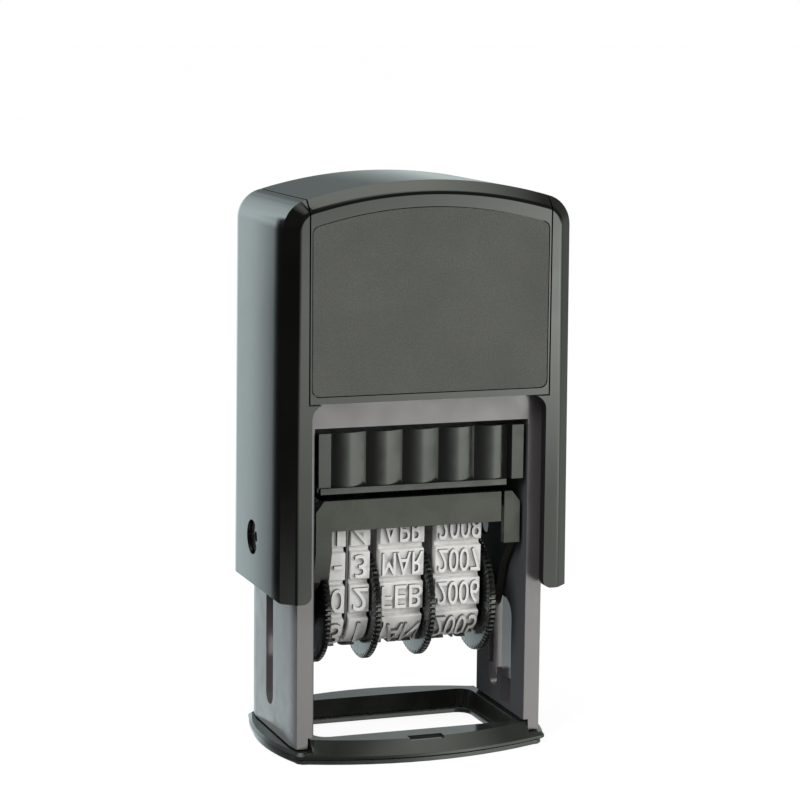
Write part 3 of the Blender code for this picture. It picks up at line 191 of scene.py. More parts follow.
def moulded(name, colours, roughness, grain_mm, relief_mm, wave_mm=0.0, painted_shade=None, shader_settings=ABS):
    """Moulded plastic: a slow drift of colour and gloss, the relief that its tool left, and painted shade, darker and
    duller, where the part lies inside.
    """
    made, tree, place = new_material(name, shader_settings)
    drift = add(tree, "TexNoise", {"Scale": METRE / 14, "Detail": 3}, {0: place})[0]
    colour = add(tree, "ValToRGB", {"stops": ((CALM, colours[0]), (BUSY, colours[1]))}, {0: drift})[0]
    mottle = add(tree, "TexNoise", {"Scale": METRE / 3, "Detail": 4}, {0: place})[0]
    gloss = add(tree, "MapRange", {1: CALM, 2: BUSY, 3: roughness[0], 4: roughness[1]}, {0: mottle})[0]
    # Painted shade: darker, rougher and less specular inside the half width, behind the front and below the top
    if painted_shade:
        half, front, top, shade_colour = painted_shade
        parts = add(tree, "SeparateXYZ", links={0: place})
        across = add(tree, "Math", {"operation": "ABSOLUTE"}, {0: parts["X"]})[0]
        shaded = None
        for source, edge, soft, before, behind in (
            (across, half, SHADE_EDGE_ACROSS, 1.0, 0.0),
            (parts["Y"], front, SHADE_EDGE, 0.0, 1.0),
            (parts["Z"], top, SHADE_EDGE, 1.0, 0.0),
        ):
            limits = {1: (edge - soft) * MM, 2: (edge + soft) * MM, 3: before, 4: behind}
            part = add(tree, "MapRange", limits, {0: source})[0]
            shaded = add(tree, "Math", {"operation": "MULTIPLY"}, {0: shaded, 1: part})[0] if shaded else part
        colour = add(tree, "Mix", {"data_type": "RGBA", 7: linear(shade_colour)}, {0: shaded, 6: colour})[2]
        gloss = add(tree, "Mix", {"data_type": "FLOAT", 3: SHADE_ROUGHNESS}, {0: shaded, 2: gloss})[0]
        limits = {3: shader_settings["Specular IOR Level"], 4: SHADE_SPECULAR}
        finished(made, {"Specular IOR Level": add(tree, "MapRange", limits, {0: shaded})[0]})
    grain = add(tree, "TexNoise", {"Scale": METRE / grain_mm}, {0: place})[0]
    skin = add(tree, "Bump", {"Strength": 1.0, "Distance": relief_mm * MM}, {"Height": grain})[0]
    if wave_mm:
        wave = add(tree, "TexNoise", {"Scale": METRE / 6, "Detail": 1}, {0: place})[0]
        links = {"Height": wave, "Normal": skin}
        skin = add(tree, "Bump", {"Strength": 1.0, "Distance": wave_mm * MM}, links)[0]
    return finished(made, {"Base Color": colour, "Roughness": gloss, "Normal": skin})


def polished_abs():
    """Black ABS out of a polished tool: a mirror gloss, faint waves, and sides that crown to the front edge."""
    made = moulded("polished_black_abs", ("#090908", "#0d0d0c"), (0.05, 0.09), 0.6, 0.00015, wave_mm=0.004)
    tree = made.node_tree
    skin = tree.nodes["Principled BSDF"].inputs["Normal"].links[0].from_socket
    coordinates = add(tree, "TexCoord")
    depth = add(tree, "SeparateXYZ", links={0: coordinates["Object"]})["Y"]
    edge = (CAP_FRONT_BEVEL - CAP_DEPTH / 2) * MM
    fall = None
    for sink, run, power in SIDE_CROWNS:
        near = add(tree, "MapRange", {1: edge, 2: edge + run * MM, 3: 1.0, 4: 0.0}, {0: depth})[0]
        bent = add(tree, "Math", {"operation": "POWER", 1: power}, {0: near})[0]
        part = add(tree, "Math", {"operation": "MULTIPLY", 1: -sink * MM}, {0: bent})[0]
        fall = add(tree, "Math", {"operation": "ADD"}, {0: fall, 1: part})[0] if fall else part
    facing = add(tree, "SeparateXYZ", links={0: coordinates["Normal"]})["X"]
    outward = add(tree, "Math", {"operation": "ABSOLUTE"}, {0: facing})[0]
    on_sides = add(tree, "MapRange", {1: SIDE_FACING[0], 2: SIDE_FACING[1]}, {0: outward})[0]
    links = {"Strength": on_sides, "Height": fall, "Normal": skin}
    return finished(made, {"Normal": add(tree, "Bump", {"Distance": 1.0}, links)[0]})


def grained_abs():
    """ABS out of a spark-eroded tool: fine pebbles that scatter the light to an even dark grey."""
    made, tree, place = new_material("spark_grained_abs", GRAINED_ABS)
    fleck = add(tree, "TexNoise", {"Scale": METRE / 0.24, "Detail": 3, "Roughness": 0.65}, {0: place})[0]
    drift = add(tree, "TexNoise", {"Scale": METRE / 9}, {0: place})[0]
    tone = add(tree, "ValToRGB", {"stops": ((0.3, "#494a46"), (0.7, "#51524d"))}, {0: drift})[0]
    spots = add(tree, "ValToRGB", {"stops": ((0.36, 0.0), (0.5, 0.5), (0.68, 1.0))}, {0: fleck})[0]
    overlay = {"data_type": "RGBA", "blend_type": "OVERLAY", 0: 0.28}
    colour = add(tree, "Mix", overlay, {6: tone, 7: spots})[2]
    gloss = add(tree, "MapRange", {1: CALM, 2: BUSY, 3: 0.42, 4: 0.6}, {0: fleck})[0]
    pebbles = add(tree, "Bump", {"Strength": 1.0, "Distance": 0.03 * MM}, {"Height": fleck})[0]
    return finished(made, {"Base Color": colour, "Roughness": gloss, "Normal": pebbles})


def felt():
    """Felt pad soaked with black stamp ink: dark, wet and hairy, a shade lighter where it dries."""
    made, tree, place = new_material("inked_felt", {"IOR": 1.4})
    fibre = add(tree, "TexNoise", {"Scale": METRE / 0.25, "Detail": 6, "Roughness": 0.7}, {0: place})[0]
    damp = add(tree, "TexNoise", {"Scale": METRE / 5, "Detail": 3}, {0: place})[0]
    colour = add(tree, "ValToRGB", {"stops": ((0.35, "#0b0b10"), (0.7, "#1b1b22"))}, {0: damp})[0]
    gloss = add(tree, "MapRange", {1: CALM, 2: BUSY, 3: 0.35, 4: 0.85}, {0: damp})[0]
    hairs = add(tree, "Bump", {"Strength": 0.9, "Distance": 0.08 * MM}, {"Height": fibre})[0]
    return finished(made, {"Base Color": colour, "Roughness": gloss, "Normal": hairs})


def type_rubber(name, face, shade):
    """Vulcanised rubber: soft and matt, with a bloom, and black ink on the faces that print."""
    made, tree, place = new_material(name, {"IOR": 1.5})
    bloom = add(tree, "TexNoise", {"Scale": METRE / 2.2, "Detail": 5, "Roughness": 0.6}, {0: place})[0]
    colour = add(tree, "ValToRGB", {"stops": ((0.32, shade), (0.6, face))}, {0: bloom})[0]
    height = add(tree, "SeparateXYZ", links={0: place})["Z"]
    blots = add(tree, "TexNoise", {"Scale": METRE / 1.6, "Detail": 3}, {0: place})[0]
    ragged = add(tree, "Math", {"operation": "MULTIPLY", 1: INK_RAGGED * MM}, {0: blots})[0]
    lifted = add(tree, "Math", {"operation": "ADD"}, {0: height, 1: ragged})[0]
    inked_from = PRINT_FACE - INKED_DEPTH
    soaked = add(tree, "MapRange", {1: inked_from * MM, 2: (inked_from + INK_FADE) * MM}, {0: lifted})[0]
    colour = add(tree, "Mix", {"data_type": "RGBA", 7: linear("#16161c")}, {0: soaked, 6: colour})[2]
    gloss = add(tree, "MapRange", {1: CALM, 2: BUSY, 3: 0.48, 4: 0.68}, {0: bloom})[0]
    grain = add(tree, "TexNoise", {"Scale": METRE / 0.18, "Detail": 3}, {0: place})[0]
    skin = add(tree, "Bump", {"Strength": 0.7, "Distance": 0.02 * MM}, {"Height": grain})[0]
    return finished(made, {"Base Color": colour, "Roughness": gloss, "Normal": skin})


def spring_steel():
    """Drawn steel wire: bright, with fine lines along the draw and a breath of oil."""
    made, tree, place = new_material("drawn_spring_steel", {"Metallic": 1.0})
    lines = add(tree, "TexNoise", {"Scale": METRE / 0.3, "Detail": 4, "Roughness": 0.7}, {0: place})[0]
    colour = add(tree, "ValToRGB", {"stops": ((0.3, "#b4b3af"), (0.7, "#d2d1cd"))}, {0: lines})[0]
    gloss = add(tree, "MapRange", {1: CALM, 2: BUSY, 3: 0.16, 4: 0.3}, {0: lines})[0]
    scores = add(tree, "Bump", {"Strength": 0.4, "Distance": 0.01 * MM}, {"Height": lines})[0]
    return finished(made, {"Base Color": colour, "Roughness": gloss, "Normal": scores})


FINISHES = {
    # Grey ABS, satin: a soft even light on the rim
    "foot_plastic": moulded(
        "satin_foot_abs", ("#2b2d2b", "#323432"), roughness=(0.24, 0.34), grain_mm=0.3, relief_mm=0.004),
    # Dark grey ABS, glossy, with faint waves in what it mirrors
    "base_plastic": moulded(
        "glossy_base_abs", ("#1d1f1c", "#242622"), roughness=(0.1, 0.16), grain_mm=0.5, relief_mm=0.0004,
        wave_mm=0.004),
    # Warm grey ABS, satin, as the legs slide in the cap; painted shade on the legs' inner faces
    "frame_plastic": moulded(
        "satin_frame_abs", ("#535052", "#5b5759"), roughness=(0.17, 0.27), grain_mm=0.25, relief_mm=0.003,
        painted_shade=FRAME_PAINTED_SHADE, shader_settings=FRAME_ABS),
    # Dark grey ABS, satin, handled at its ribs
    "cartridge_plastic": moulded(
        "satin_cartridge_abs", ("#171816", "#1c1d1b"), roughness=(0.16, 0.26), grain_mm=0.25, relief_mm=0.003),
    "ink_felt": felt(),
    "cap_plastic": polished_abs(),
    "panel_plastic": grained_abs(),
    # Dark grey ABS between satin and gloss; painted shade inside the end plates
    "carrier_plastic": moulded(
        "carrier_abs", ("#2b2c25", "#32332b"), roughness=(0.2, 0.32), grain_mm=0.3, relief_mm=0.003,
        painted_shade=CARRIER_PAINTED_SHADE, shader_settings=CARRIER_ABS),
    # Black acetal: waxy sheen, which the fingers polish
    "wheel_plastic": moulded(
        "waxy_acetal", ("#171917", "#222421"), roughness=(0.14, 0.22), grain_mm=0.2, relief_mm=0.003,
        shader_settings=ACETAL),
    "band_rubber": type_rubber("white_type_rubber", "#f1f0ed", "#e6e5e1"),
    "text_rubber": type_rubber("red_text_rubber", "#8c4636", "#7c3a2c"),
    "steel": spring_steel(),
}
# The flanks of the type: painted shade on the relief's sides, with dried ink
SHADED_INKY_FLANKS = type_rubber("shaded_inky_type_flanks", "#6c6b66", "#52514d")


# Shapes

def put(name, bm):
    """A mesh object in the scene."""
    mesh = bpy.data.meshes.new(name)
    bm.to_mesh(mesh)
    bm.free()
    obj = bpy.data.objects.new(name, mesh)
    bpy.context.scene.collection.objects.link(obj)
    return obj


def tool(name, bm):
    """A mesh object that only cuts or joins."""
    obj = put(name, bm)
    obj.hide_render = True
    return obj


def settle(name, bm, node, smooth=35, bevel=0.0, replace=True, extra=None):
    """A mesh object that stands for a node: it takes its body, slot and finish from it."""
    obj = put(name, bm)
    for operation, other in extra or ():
        modifier = obj.modifiers.new(operation.lower(), "BOOLEAN")
        modifier.operation = operation
        modifier.solver = "EXACT"
        modifier.object = other
    if extra:
        bake_down(obj)
    dress(obj, node, smooth, bevel)
    if replace:
        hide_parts(node)
    return obj


def bake_down(obj):
    """Applies the modifiers of an object and drops the tools that they used."""
    graph = bpy.context.evaluated_depsgraph_get()
    mesh = bpy.data.meshes.new_from_object(obj.evaluated_get(graph))
    used = [m.object for m in obj.modifiers if m.type == "BOOLEAN"]
    obj.modifiers.clear()
    obj.data = mesh
    for other in used:
        bpy.data.objects.remove(other, do_unlink=True)


def dress(obj, node, smooth, bevel):
    """Smooth shading, broken edges, and the node's finish, body and slot."""
    obj.data.materials.clear()
    obj.data.materials.append(FINISHES[SLOTS[node]])
    obj.data.shade_smooth()
    if bevel:
        rim = obj.modifiers.new("broken_edges", "BEVEL")
        rim.width = bevel * MM
        rim.segments = 3
        rim.limit_method = "ANGLE"
        rim.angle_limit = math.radians(smooth)
        rim.miter_outer = "MITER_ARC"
        even = obj.modifiers.new("even_faces", "WEIGHTED_NORMAL")
        even.weight = 80
    else:
        obj.data.set_sharp_from_angle(angle=math.radians(smooth))
    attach(obj, BODIES[node])


def arc(centre, radius, start, end, steps):
    """Points on an arc between two angles in degrees."""
    angles = [math.radians(start + (end - start) * i / steps) for i in range(steps + 1)]
    return [(centre[0] + radius * math.cos(a), centre[1] + radius * math.sin(a)) for a in angles]


def wrap(bm, rings):
    """Faces between each ring of vertices and the next one."""
    for near, far in zip(rings, rings[1:]):
        for i in range(len(near)):
            j = (i + 1) % len(near)
            bm.faces.new((near[i], near[j], far[j], far[i]))


def loft(rings):
    """A closed mesh through rings of as many points each, in millimetres."""
    bm = bmesh.new()
    loops = [[bm.verts.new(Vector(point) * MM) for point in ring] for ring in rings]
    wrap(bm, loops)
    bm.faces.new(loops[0])
    bm.faces.new(loops[-1])
    bmesh.ops.recalc_face_normals(bm, faces=bm.faces)
    return bm


# Where an outline's two coordinates and the span go when it is extruded along each axis
STAND = {
    "X": lambda u, v, w: (w, u, v),
    "Y": lambda u, v, w: (u, w, v),
    "Z": lambda u, v, w: (u, v, w),
}


def prism(axis, outline, span):
    """A flat outline extruded along an axis over a span."""
    return loft([[STAND[axis](u, v, w) for u, v in outline] for w in span])


def block(x, y, z):
    """A box between the limits in the pairs x, y and z."""
    return prism("Z", ((x[0], y[0]), (x[1], y[0]), (x[1], y[1]), (x[0], y[1])), z)


def round_bar(axis, centre, radius, span, steps=64):
    """A cylinder along an axis."""
    return prism(axis, arc(centre, radius, 0, 360 * (steps - 1) / steps, steps - 1), span)


def refine(node, name, bevel=0.15, smooth=28, extra=None):
    """The CAD node's own shape, with its flat faces whole again and its edges broken."""
    bm = bmesh.new()
    bm.from_mesh(frame["nodes"][node].data)
    bmesh.ops.remove_doubles(bm, verts=bm.verts, dist=WELD * MM)
    bmesh.ops.dissolve_limit(bm, angle_limit=math.radians(FLAT_ANGLE), verts=bm.verts, edges=bm.edges)
    bmesh.ops.recalc_face_normals(bm, faces=bm.faces)
    return settle(name, bm, node, smooth, bevel, extra=extra)


# Cap

def cap_ring(y, side, top, bottom):
    """The cap's outline in X and Z at one depth, drawn in by the two insets."""
    foot = CAP_WIDTH / 2 - side
    half = foot - CAP_DRAFT
    radius = CAP_ARCH_RADIUS - top
    centre = CAP_TOP - CAP_ARCH_RADIUS - CAP_BACK_DROP * max(0.0, y / CAP_DEPTH + 0.5)
    corner = max(CAP_SHOULDER_RADIUS - top, CAP_SHOULDER_RADIUS / 5)
    corner_x = half - corner
    corner_z = centre + math.sqrt((radius - corner) ** 2 - corner_x ** 2)
    lean = math.degrees(math.atan2(corner_z - centre, corner_x))
    outline = [(foot, bottom)] + arc((corner_x, corner_z), corner, 0, lean, SHOULDER_STEPS)
    outline += arc((0, centre), radius, lean, 180 - lean, ARCH_STEPS)[1:-1]
    outline += arc((-corner_x, corner_z), corner, 180 - lean, 180, SHOULDER_STEPS) + [(-foot, bottom)]
    return [(x, y, z) for x, z in outline]


def cap_form(inset, bottom):
    """The cap's solid, drawn in all round by an inset."""
    front = -CAP_DEPTH / 2
    back = CAP_DEPTH / 2 - CAP_BACK_RADIUS
    slope = math.hypot(CAP_FRONT_BEVEL, CAP_TOP_BEVEL) / CAP_TOP_BEVEL
    creep = slope * inset - inset * CAP_FRONT_BEVEL / CAP_TOP_BEVEL
    drop = creep * CAP_TOP_BEVEL / CAP_FRONT_BEVEL / 2
    rings = []
    for away, share in EDGE_ROLL:
        side = CAP_FRONT_BEVEL + drop + share
        rings.append(cap_ring(front + inset + away, side, CAP_TOP_BEVEL + drop + share, bottom))
    start = front + CAP_FRONT_BEVEL + creep
    rings.append(cap_ring(start, inset, inset, bottom))
    for i in range(BACK_STEPS + 1):
        angle = math.radians(90 * i / BACK_STEPS)
        away = inset + (CAP_BACK_RADIUS - inset) * (1 - math.cos(angle))
        rings.append(cap_ring(back + (CAP_BACK_RADIUS - inset) * math.sin(angle), away, away, bottom))
    return loft(rings)


def window(y):
    """The cap's open front or back, with round top corners and flared feet."""
    half, top = CAP_WINDOW_HALF, CAP_WINDOW_TOP
    radius, flare = CAP_WINDOW_RADIUS, CAP_WINDOW_FLARE
    low = CAP_BOTTOM - OVERRUN
    side = [(half + flare, low)] + arc((half + flare, CAP_BOTTOM + flare), flare, 270, 180, CORNER_STEPS)
    side += arc((half - radius, top - radius), radius, 0, 90, CORNER_STEPS)
    return prism("Y", side + [(-x, z) for x, z in reversed(side)], y)


def panel_outline(margin):
    """The inlay's outline: straight sides and foot, an arched head."""
    half, low, corner = PANEL_HALF_WIDTH + margin, PANEL_BOTTOM - margin, PANEL_CORNER
    centre, radius = PANEL_TOP - PANEL_ARCH_RADIUS, PANEL_ARCH_RADIUS + margin
    corner_z = centre + math.sqrt((radius - corner) ** 2 - (half - corner) ** 2)
    lean = math.degrees(math.atan2(corner_z - centre, half - corner))
    side = arc((half - corner, low + corner), corner, -90, 0, CORNER_STEPS)
    side += arc((half - corner, corner_z), corner, 0, lean, CORNER_STEPS)
    head = arc((0, centre), radius, lean, 180 - lean, PANEL_ARCH_STEPS)[1:-1]
    return side + head + [(-x, z) for x, z in reversed(side)]


def make_cap():
    """The cap, hollow and with its strip's seat, then the strip, then its two inlays."""
    gap = COVER_GAP / 2
    reach, high = CAP_DEPTH / 2 + OVERRUN, CAP_TOP + OVERRUN
    wide = COVER_HALF_WIDTH + gap
    zone = tool("strip_seat", block((-wide, wide), (-reach, reach), (CAP_WINDOW_TOP - gap, high)))
    core = tool("cap_core", cap_form(COVER_THICKNESS + 2 * gap, CAP_WINDOW_TOP - OVERRUN))
    modifier = zone.modifiers.new("core", "BOOLEAN")
    modifier.object, modifier.solver = core, "EXACT"
    bake_down(zone)
    half, chamfer, low = CAP_CAVITY_HALF, CAP_CEILING_CHAMFER, CAP_BOTTOM - OVERRUN
    side = [(half, low), (half, CAP_CEILING - chamfer), (half - chamfer, CAP_CEILING)]
    depth = CAP_DEPTH / 2 - CAP_WALL
    cavity = tool("cavity", prism("Y", side + [(-x, z) for x, z in reversed(side)], (-depth, depth)))
    inner = depth - WINDOW_OVERLAP
    across = CAP_WIDTH / 2 + OVERRUN
    cuts = [zone, cavity, tool("front_window", window((-reach, -inner))), tool("rear_window", window((inner, reach)))]
    cuts.append(tool("axle_holes", round_bar("X", (AXLE_Y, AXLE_Z), CAP_HOLE_RADIUS, (-across, across))))
    spigot = round_bar("Z", (0, 0), SPIGOT_RADIUS, (CAP_CEILING - SPIGOT_LENGTH, CAP_CEILING + OVERRUN))
    steps = [("DIFFERENCE", cut) for cut in cuts] + [("UNION", tool("spigot", spigot))]
    settle("polished_cap", cap_form(0.0, CAP_BOTTOM), "cap_shell", smooth=30, bevel=0.22, extra=steps)

    narrow = COVER_HALF_WIDTH - gap
    keep = tool("strip_width", block((-narrow, narrow), (-reach, reach), (CAP_WINDOW_TOP + gap, high)))
    inside = tool("strip_inside", cap_form(COVER_THICKNESS, CAP_WINDOW_TOP - OVERRUN))
    steps = [("INTERSECT", keep), ("DIFFERENCE", inside)]
    for side in (-1, 1):
        face = side * CAP_DEPTH / 2
        floor = face - side * (PANEL_THICKNESS + PANEL_GAP)
        recess = prism("Y", panel_outline(PANEL_GAP / 2), sorted((floor, face + side * OVERRUN)))
        steps.append(("DIFFERENCE", tool("inlay_recess", recess)))
    settle("wrap_strip", cap_form(0.0, CAP_WINDOW_TOP + gap), "cover_strip", smooth=30, bevel=0.14, extra=steps)
    for name, node, side in (("front_inlay", "front_panel", -1), ("rear_inlay", "rear_panel", 1)):
        face = side * CAP_DEPTH / 2
        plate = prism("Y", panel_outline(0.0), sorted((face - side * PANEL_THICKNESS, face)))
        settle(name, plate, node, smooth=30, bevel=0.07)


# Ink cartridge and pad

def make_cartridge():
    """The cartridge, with rounded ribs and a lip to pull it out by."""
    half, depth = CARTRIDGE_HALF_WIDTH, CARTRIDGE_HALF_DEPTH
    outline = [(half, depth), (-half, depth), (-half, -depth)]
    first = -RIB_COUNT * RIB_PITCH / 2
    outline.append((first, -depth))
    per_rib = 18
    for i in range(RIB_COUNT):
        for step in range(per_rib + 1):
            if i and not step:
                continue
            share = step / per_rib
            rise = RIB_HEIGHT * (1 - math.sin(math.pi * share))
            outline.append((first + (i + share) * RIB_PITCH, -depth + rise))
    outline += [(-first, -depth), (half, -depth)]
    body = prism("Z", outline, (CARTRIDGE_BOTTOM, CARTRIDGE_TOP))
    near, far = LIP_Y
    low, high = LIP_Z
    nose = ((far, low), (far, high), (near + LIP_LEAN, high), (near, low + LIP_CHIN), (near, low))
    lip = prism("X", nose, LIP_X)
    proud = half + RUNNER_PROUD
    runners = block((-proud, proud), (-depth + RUNNER_STOP, depth - RUNNER_SHORT), RUNNER_Z)
    well_z = (CARTRIDGE_BOTTOM - OVERRUN, PAD_Z[1] + PAD_CLEARANCE)
    well = block((-PAD_WELL[0], PAD_WELL[0]), (-PAD_WELL[1], PAD_WELL[1]), well_z)
    steps = [("UNION", tool("lip", lip)), ("UNION", tool("runners", runners)), ("DIFFERENCE", tool("well", well))]
    settle("ribbed_cartridge", body, "pad_cartridge", smooth=24, bevel=0.13, extra=steps)


def make_pad():
    """The felt: a slab that swells a little between its pressed edges."""
    half_x, half_y = PAD_WELL[0] - PAD_CLEARANCE, PAD_WELL[1] - PAD_CLEARANCE
    low, high = PAD_Z
    columns, rows = 40, 26
    bm = bmesh.new()

    def height(u, v, side):
        """Flat on top; below, swollen inwards of the edge."""
        edge = min(1 - abs(u), 1 - abs(v))
        crown = 1 - (1 - min(1.0, edge / PAD_SWELL_SHARE)) ** 2
        return high if side else low + PAD_SWELL - PAD_SWELL * crown

    sheets = []
    for side in (0, 1):
        sheet = []
        for j in range(rows + 1):
            line = []
            for i in range(columns + 1):
                u, v = 2 * i / columns - 1, 2 * j / rows - 1
                point = Vector((u * half_x, v * half_y, height(u, v, side)))
                line.append(bm.verts.new(point * MM))
            sheet.append(line)
        sheets.append(sheet)
    for sheet in sheets:
        for j in range(rows):
            for i in range(columns):
                bm.faces.new((sheet[j][i], sheet[j][i + 1], sheet[j + 1][i + 1], sheet[j + 1][i]))
    rims = []
    for sheet in sheets:
        right, left = [line[-1] for line in sheet[:-1]], [line[0] for line in sheet[:0:-1]]
        rims.append(sheet[0][:-1] + right + sheet[-1][:0:-1] + left)
    wrap(bm, rims)
    bmesh.ops.recalc_face_normals(bm, faces=bm.faces)
    pad = settle("inked_felt_pad", bm, "ink_pad", smooth=50)


# Bands: a belt over the wheel hub, the front shoulder and the print bridge

def belt_segments(offset):
    """Straight runs and arcs of the belt's line at an offset, anticlockwise from the hub."""
    bridge_z = PRINT_FACE - PAD_HEIGHT - BAND_THICKNESS - BRIDGE_RADIUS
    pulleys = [(WHEEL_Y, WHEEL_Z, HUB_RADIUS), (BRIDGE_BACK, bridge_z, BRIDGE_RADIUS)]
    pulleys += [(BRIDGE_FRONT, bridge_z, BRIDGE_RADIUS), (SHOULDER_Y, SHOULDER_Z, SHOULDER_RADIUS)]
    around = list(zip(pulleys, pulleys[1:] + pulleys[:1]))
    normals = []
    for (y0, z0, r0), (y1, z1, r1) in around:
        heading = math.atan2(z1 - z0, y1 - y0)
        normals.append(heading - math.pi / 2 + math.asin((r0 - r1) / math.hypot(y1 - y0, z1 - z0)))
    segments = []
    for i, ((y, z, radius), (y1, z1, r1)) in enumerate(around):
        start, end = normals[i - 1], normals[i]
        while end < start:
            end += 2 * math.pi
        r0, r1 = radius + offset, r1 + offset
        segments.append(("arc", y, z, r0, start, end))
        a = (y + r0 * math.cos(end), z + r0 * math.sin(end))
        b = (y1 + r1 * math.cos(end), z1 + r1 * math.sin(end))
        segments.append(("line", a, b, end))
    return segments


def run_length(segment):
    """How long an arc or a straight run of the belt is."""
    return segment[3] * (segment[5] - segment[4]) if segment[0] == "arc" else math.dist(segment[1], segment[2])


def belt_point(segments, distance):
    """The point and outward angle at a distance along the belt."""
    distance %= sum(run_length(segment) for segment in segments)
    for segment in segments:
        length = run_length(segment)
        if distance <= length:
            share = distance / length
            if segment[0] == "arc":
                angle = segment[4] + share * (segment[5] - segment[4])
                y, z, radius = segment[1:4]
                return (y + radius * math.cos(angle), z + radius * math.sin(angle), angle)
            a, b, angle = segment[1:]
            return (a[0] + share * (b[0] - a[0]), a[1] + share * (b[1] - a[1]), angle)
        distance -= length
    return belt_point(segments, 0.0)


def belt_line(offset, step):
    """The belt's inner line as points about a step apart on its arcs."""
    points = []
    for segment in belt_segments(offset):
        if segment[0] == "line":
            points.append(segment[1])
            continue
        count = max(3, math.ceil(run_length(segment) / step))
        for i in range(count):
            angle = segment[4] + (segment[5] - segment[4]) * i / count
            points.append((segment[1] + segment[3] * math.cos(angle), segment[2] + segment[3] * math.sin(angle)))
    return points


def band_frame():
    """The belt's outer line, its length, the pads' pitch and where the printing pad lies."""
    segments = belt_segments(BAND_THICKNESS)
    length = sum(run_length(segment) for segment in segments)
    print_line = sum(run_length(segment) for segment in segments[:3]) + run_length(segments[3]) / 2 + PAD_PHASE
    return segments, length / PAD_COUNT, print_line


def band_profile():
    """The outer side of a band: raised pads with sloped flanks, and grooves between them."""
    segments, pitch, print_line = band_frame()
    half = (pitch - PAD_GROOVE) / 2
    stops = [(-half - BAND_FLANK, 0.0), (-half, PAD_HEIGHT)]
    stops += [(half * share, PAD_HEIGHT) for share in (-0.75, -0.5, -0.25, 0, 0.25, 0.5, 0.75)]
    stops += [(half, PAD_HEIGHT), (half + BAND_FLANK, 0.0), (pitch / 2, 0.0)]
    points = []
    for i in range(PAD_COUNT):
        for away, rise in stops:
            y, z, angle = belt_point(segments, print_line + i * pitch + away)
            points.append((y + rise * math.cos(angle), z + rise * math.sin(angle)))
    return points


def ring_prism(outer, inner, span):
    """A closed band of rubber between two lines, over a span in X."""
    bm = bmesh.new()
    sides = []
    for x in span:
        loops = [[bm.verts.new(Vector((x, y, z)) * MM) for y, z in line] for line in (outer, inner)]
        edges = []
        for loop in loops:
            edges += [bm.edges.new((loop[i], loop[(i + 1) % len(loop)])) for i in range(len(loop))]
        bmesh.ops.triangle_fill(bm, use_beauty=True, use_dissolve=False, edges=edges)
        sides.append(loops)
    for pair in zip(*sides):
        wrap(bm, pair)
    bmesh.ops.recalc_face_normals(bm, faces=bm.faces)
    return bm


def legend_mesh(text, width):
    """Raised type in the plane, X across and Y up, centred, fitted to a pad's width."""
    curve = bpy.data.curves.new("type", "FONT")
    curve.body = text
    curve.align_x, curve.align_y = "CENTER", "CENTER"
    curve.size = 1.0
    curve.offset = GLYPH_BOLDER
    curve.resolution_u = 4
    drawing = bpy.data.objects.new("type", curve)
    bpy.context.scene.collection.objects.link(drawing)
    graph = bpy.context.evaluated_depsgraph_get()
    mesh = bpy.data.meshes.new_from_object(drawing.evaluated_get(graph))
    bpy.data.objects.remove(drawing, do_unlink=True)
    xs = [v.co.x for v in mesh.vertices]
    ys = [v.co.y for v in mesh.vertices]
    wide = max(xs) - min(xs)
    scale_y = TYPE_HEIGHT / GLYPH_HEIGHT
    scale_x = min(width / wide, scale_y * TYPE_WIDEST)
    middle = ((max(xs) + min(xs)) / 2, (max(ys) + min(ys)) / 2)
    bm = bmesh.new()
    bm.from_mesh(mesh)
    bpy.data.meshes.remove(mesh)
    bmesh.ops.remove_doubles(bm, verts=bm.verts, dist=GLYPH_WELD)
    for vertex in bm.verts:
        vertex.co = Vector(((vertex.co.x - middle[0]) * scale_x, (vertex.co.y - middle[1]) * scale_y, 0.0))
    return bm


def stamp_type(bm_band, text, centre_x, width, along, segments):
    """Raises a legend on a pad. The type is flipped top to bottom, as it prints when it meets the paper."""
    letters = legend_mesh(text, width)
    raised = {}
    for vertex in letters.verts:
        u, v = vertex.co.x, vertex.co.y
        y, z, angle = belt_point(segments, along + v)
        pair = []
        for rise in (PAD_HEIGHT - TYPE_SUNK, PAD_HEIGHT + TYPE_RISE):
            point = Vector((centre_x + u, y + rise * math.cos(angle), z + rise * math.sin(angle)))
            pair.append(bm_band.verts.new(point * MM))
        raised[vertex] = pair
    for face in letters.faces:
        for level in (0, 1):
            bm_band.faces.new([raised[v][level] for v in face.verts])
    for edge in letters.edges:
        if len(edge.link_faces) == 1:
            a, b = edge.verts
            flank = bm_band.faces.new((raised[a][0], raised[b][0], raised[b][1], raised[a][1]))
            flank.material_index = 1
    letters.free()


def make_bands():
    """Each band as a padded belt, the type raised on its pads, and the disc that turns it."""
    segments, pitch, print_line = band_frame()
    outer, inner = band_profile(), belt_line(0.0, BELT_STEP)
    for name, (span, disc) in BANDS.items():
        belt = ring_prism(outer, inner, span)
        settle(name + "_belt", belt, name + "_band", smooth=30, bevel=0.09)
        bm = bmesh.new()
        width = span[1] - span[0] - TYPE_MARGIN
        for i, text in enumerate(LEGENDS[name]):
            stamp_type(bm, text, (span[0] + span[1]) / 2, width, print_line + i * pitch, segments)
        bmesh.ops.recalc_face_normals(bm, faces=bm.faces)
        finish_of_faces = [face.material_index for face in bm.faces]  # settle puts all faces in one finish
        type_faces = settle(name + "_type", bm, name + "_band", smooth=30, replace=False)
        # The flanks take the darker finish: painted shade, with dried ink
        type_faces.data.materials.append(SHADED_INKY_FLANKS)
        type_faces.data.polygons.foreach_set("material_index", finish_of_faces)
        rim = type_faces.modifiers.new("soft_edges", "BEVEL")
        rim.width, rim.segments, rim.limit_method = TYPE_EDGE * MM, 2, "ANGLE"
        make_wheel(name, span, disc)


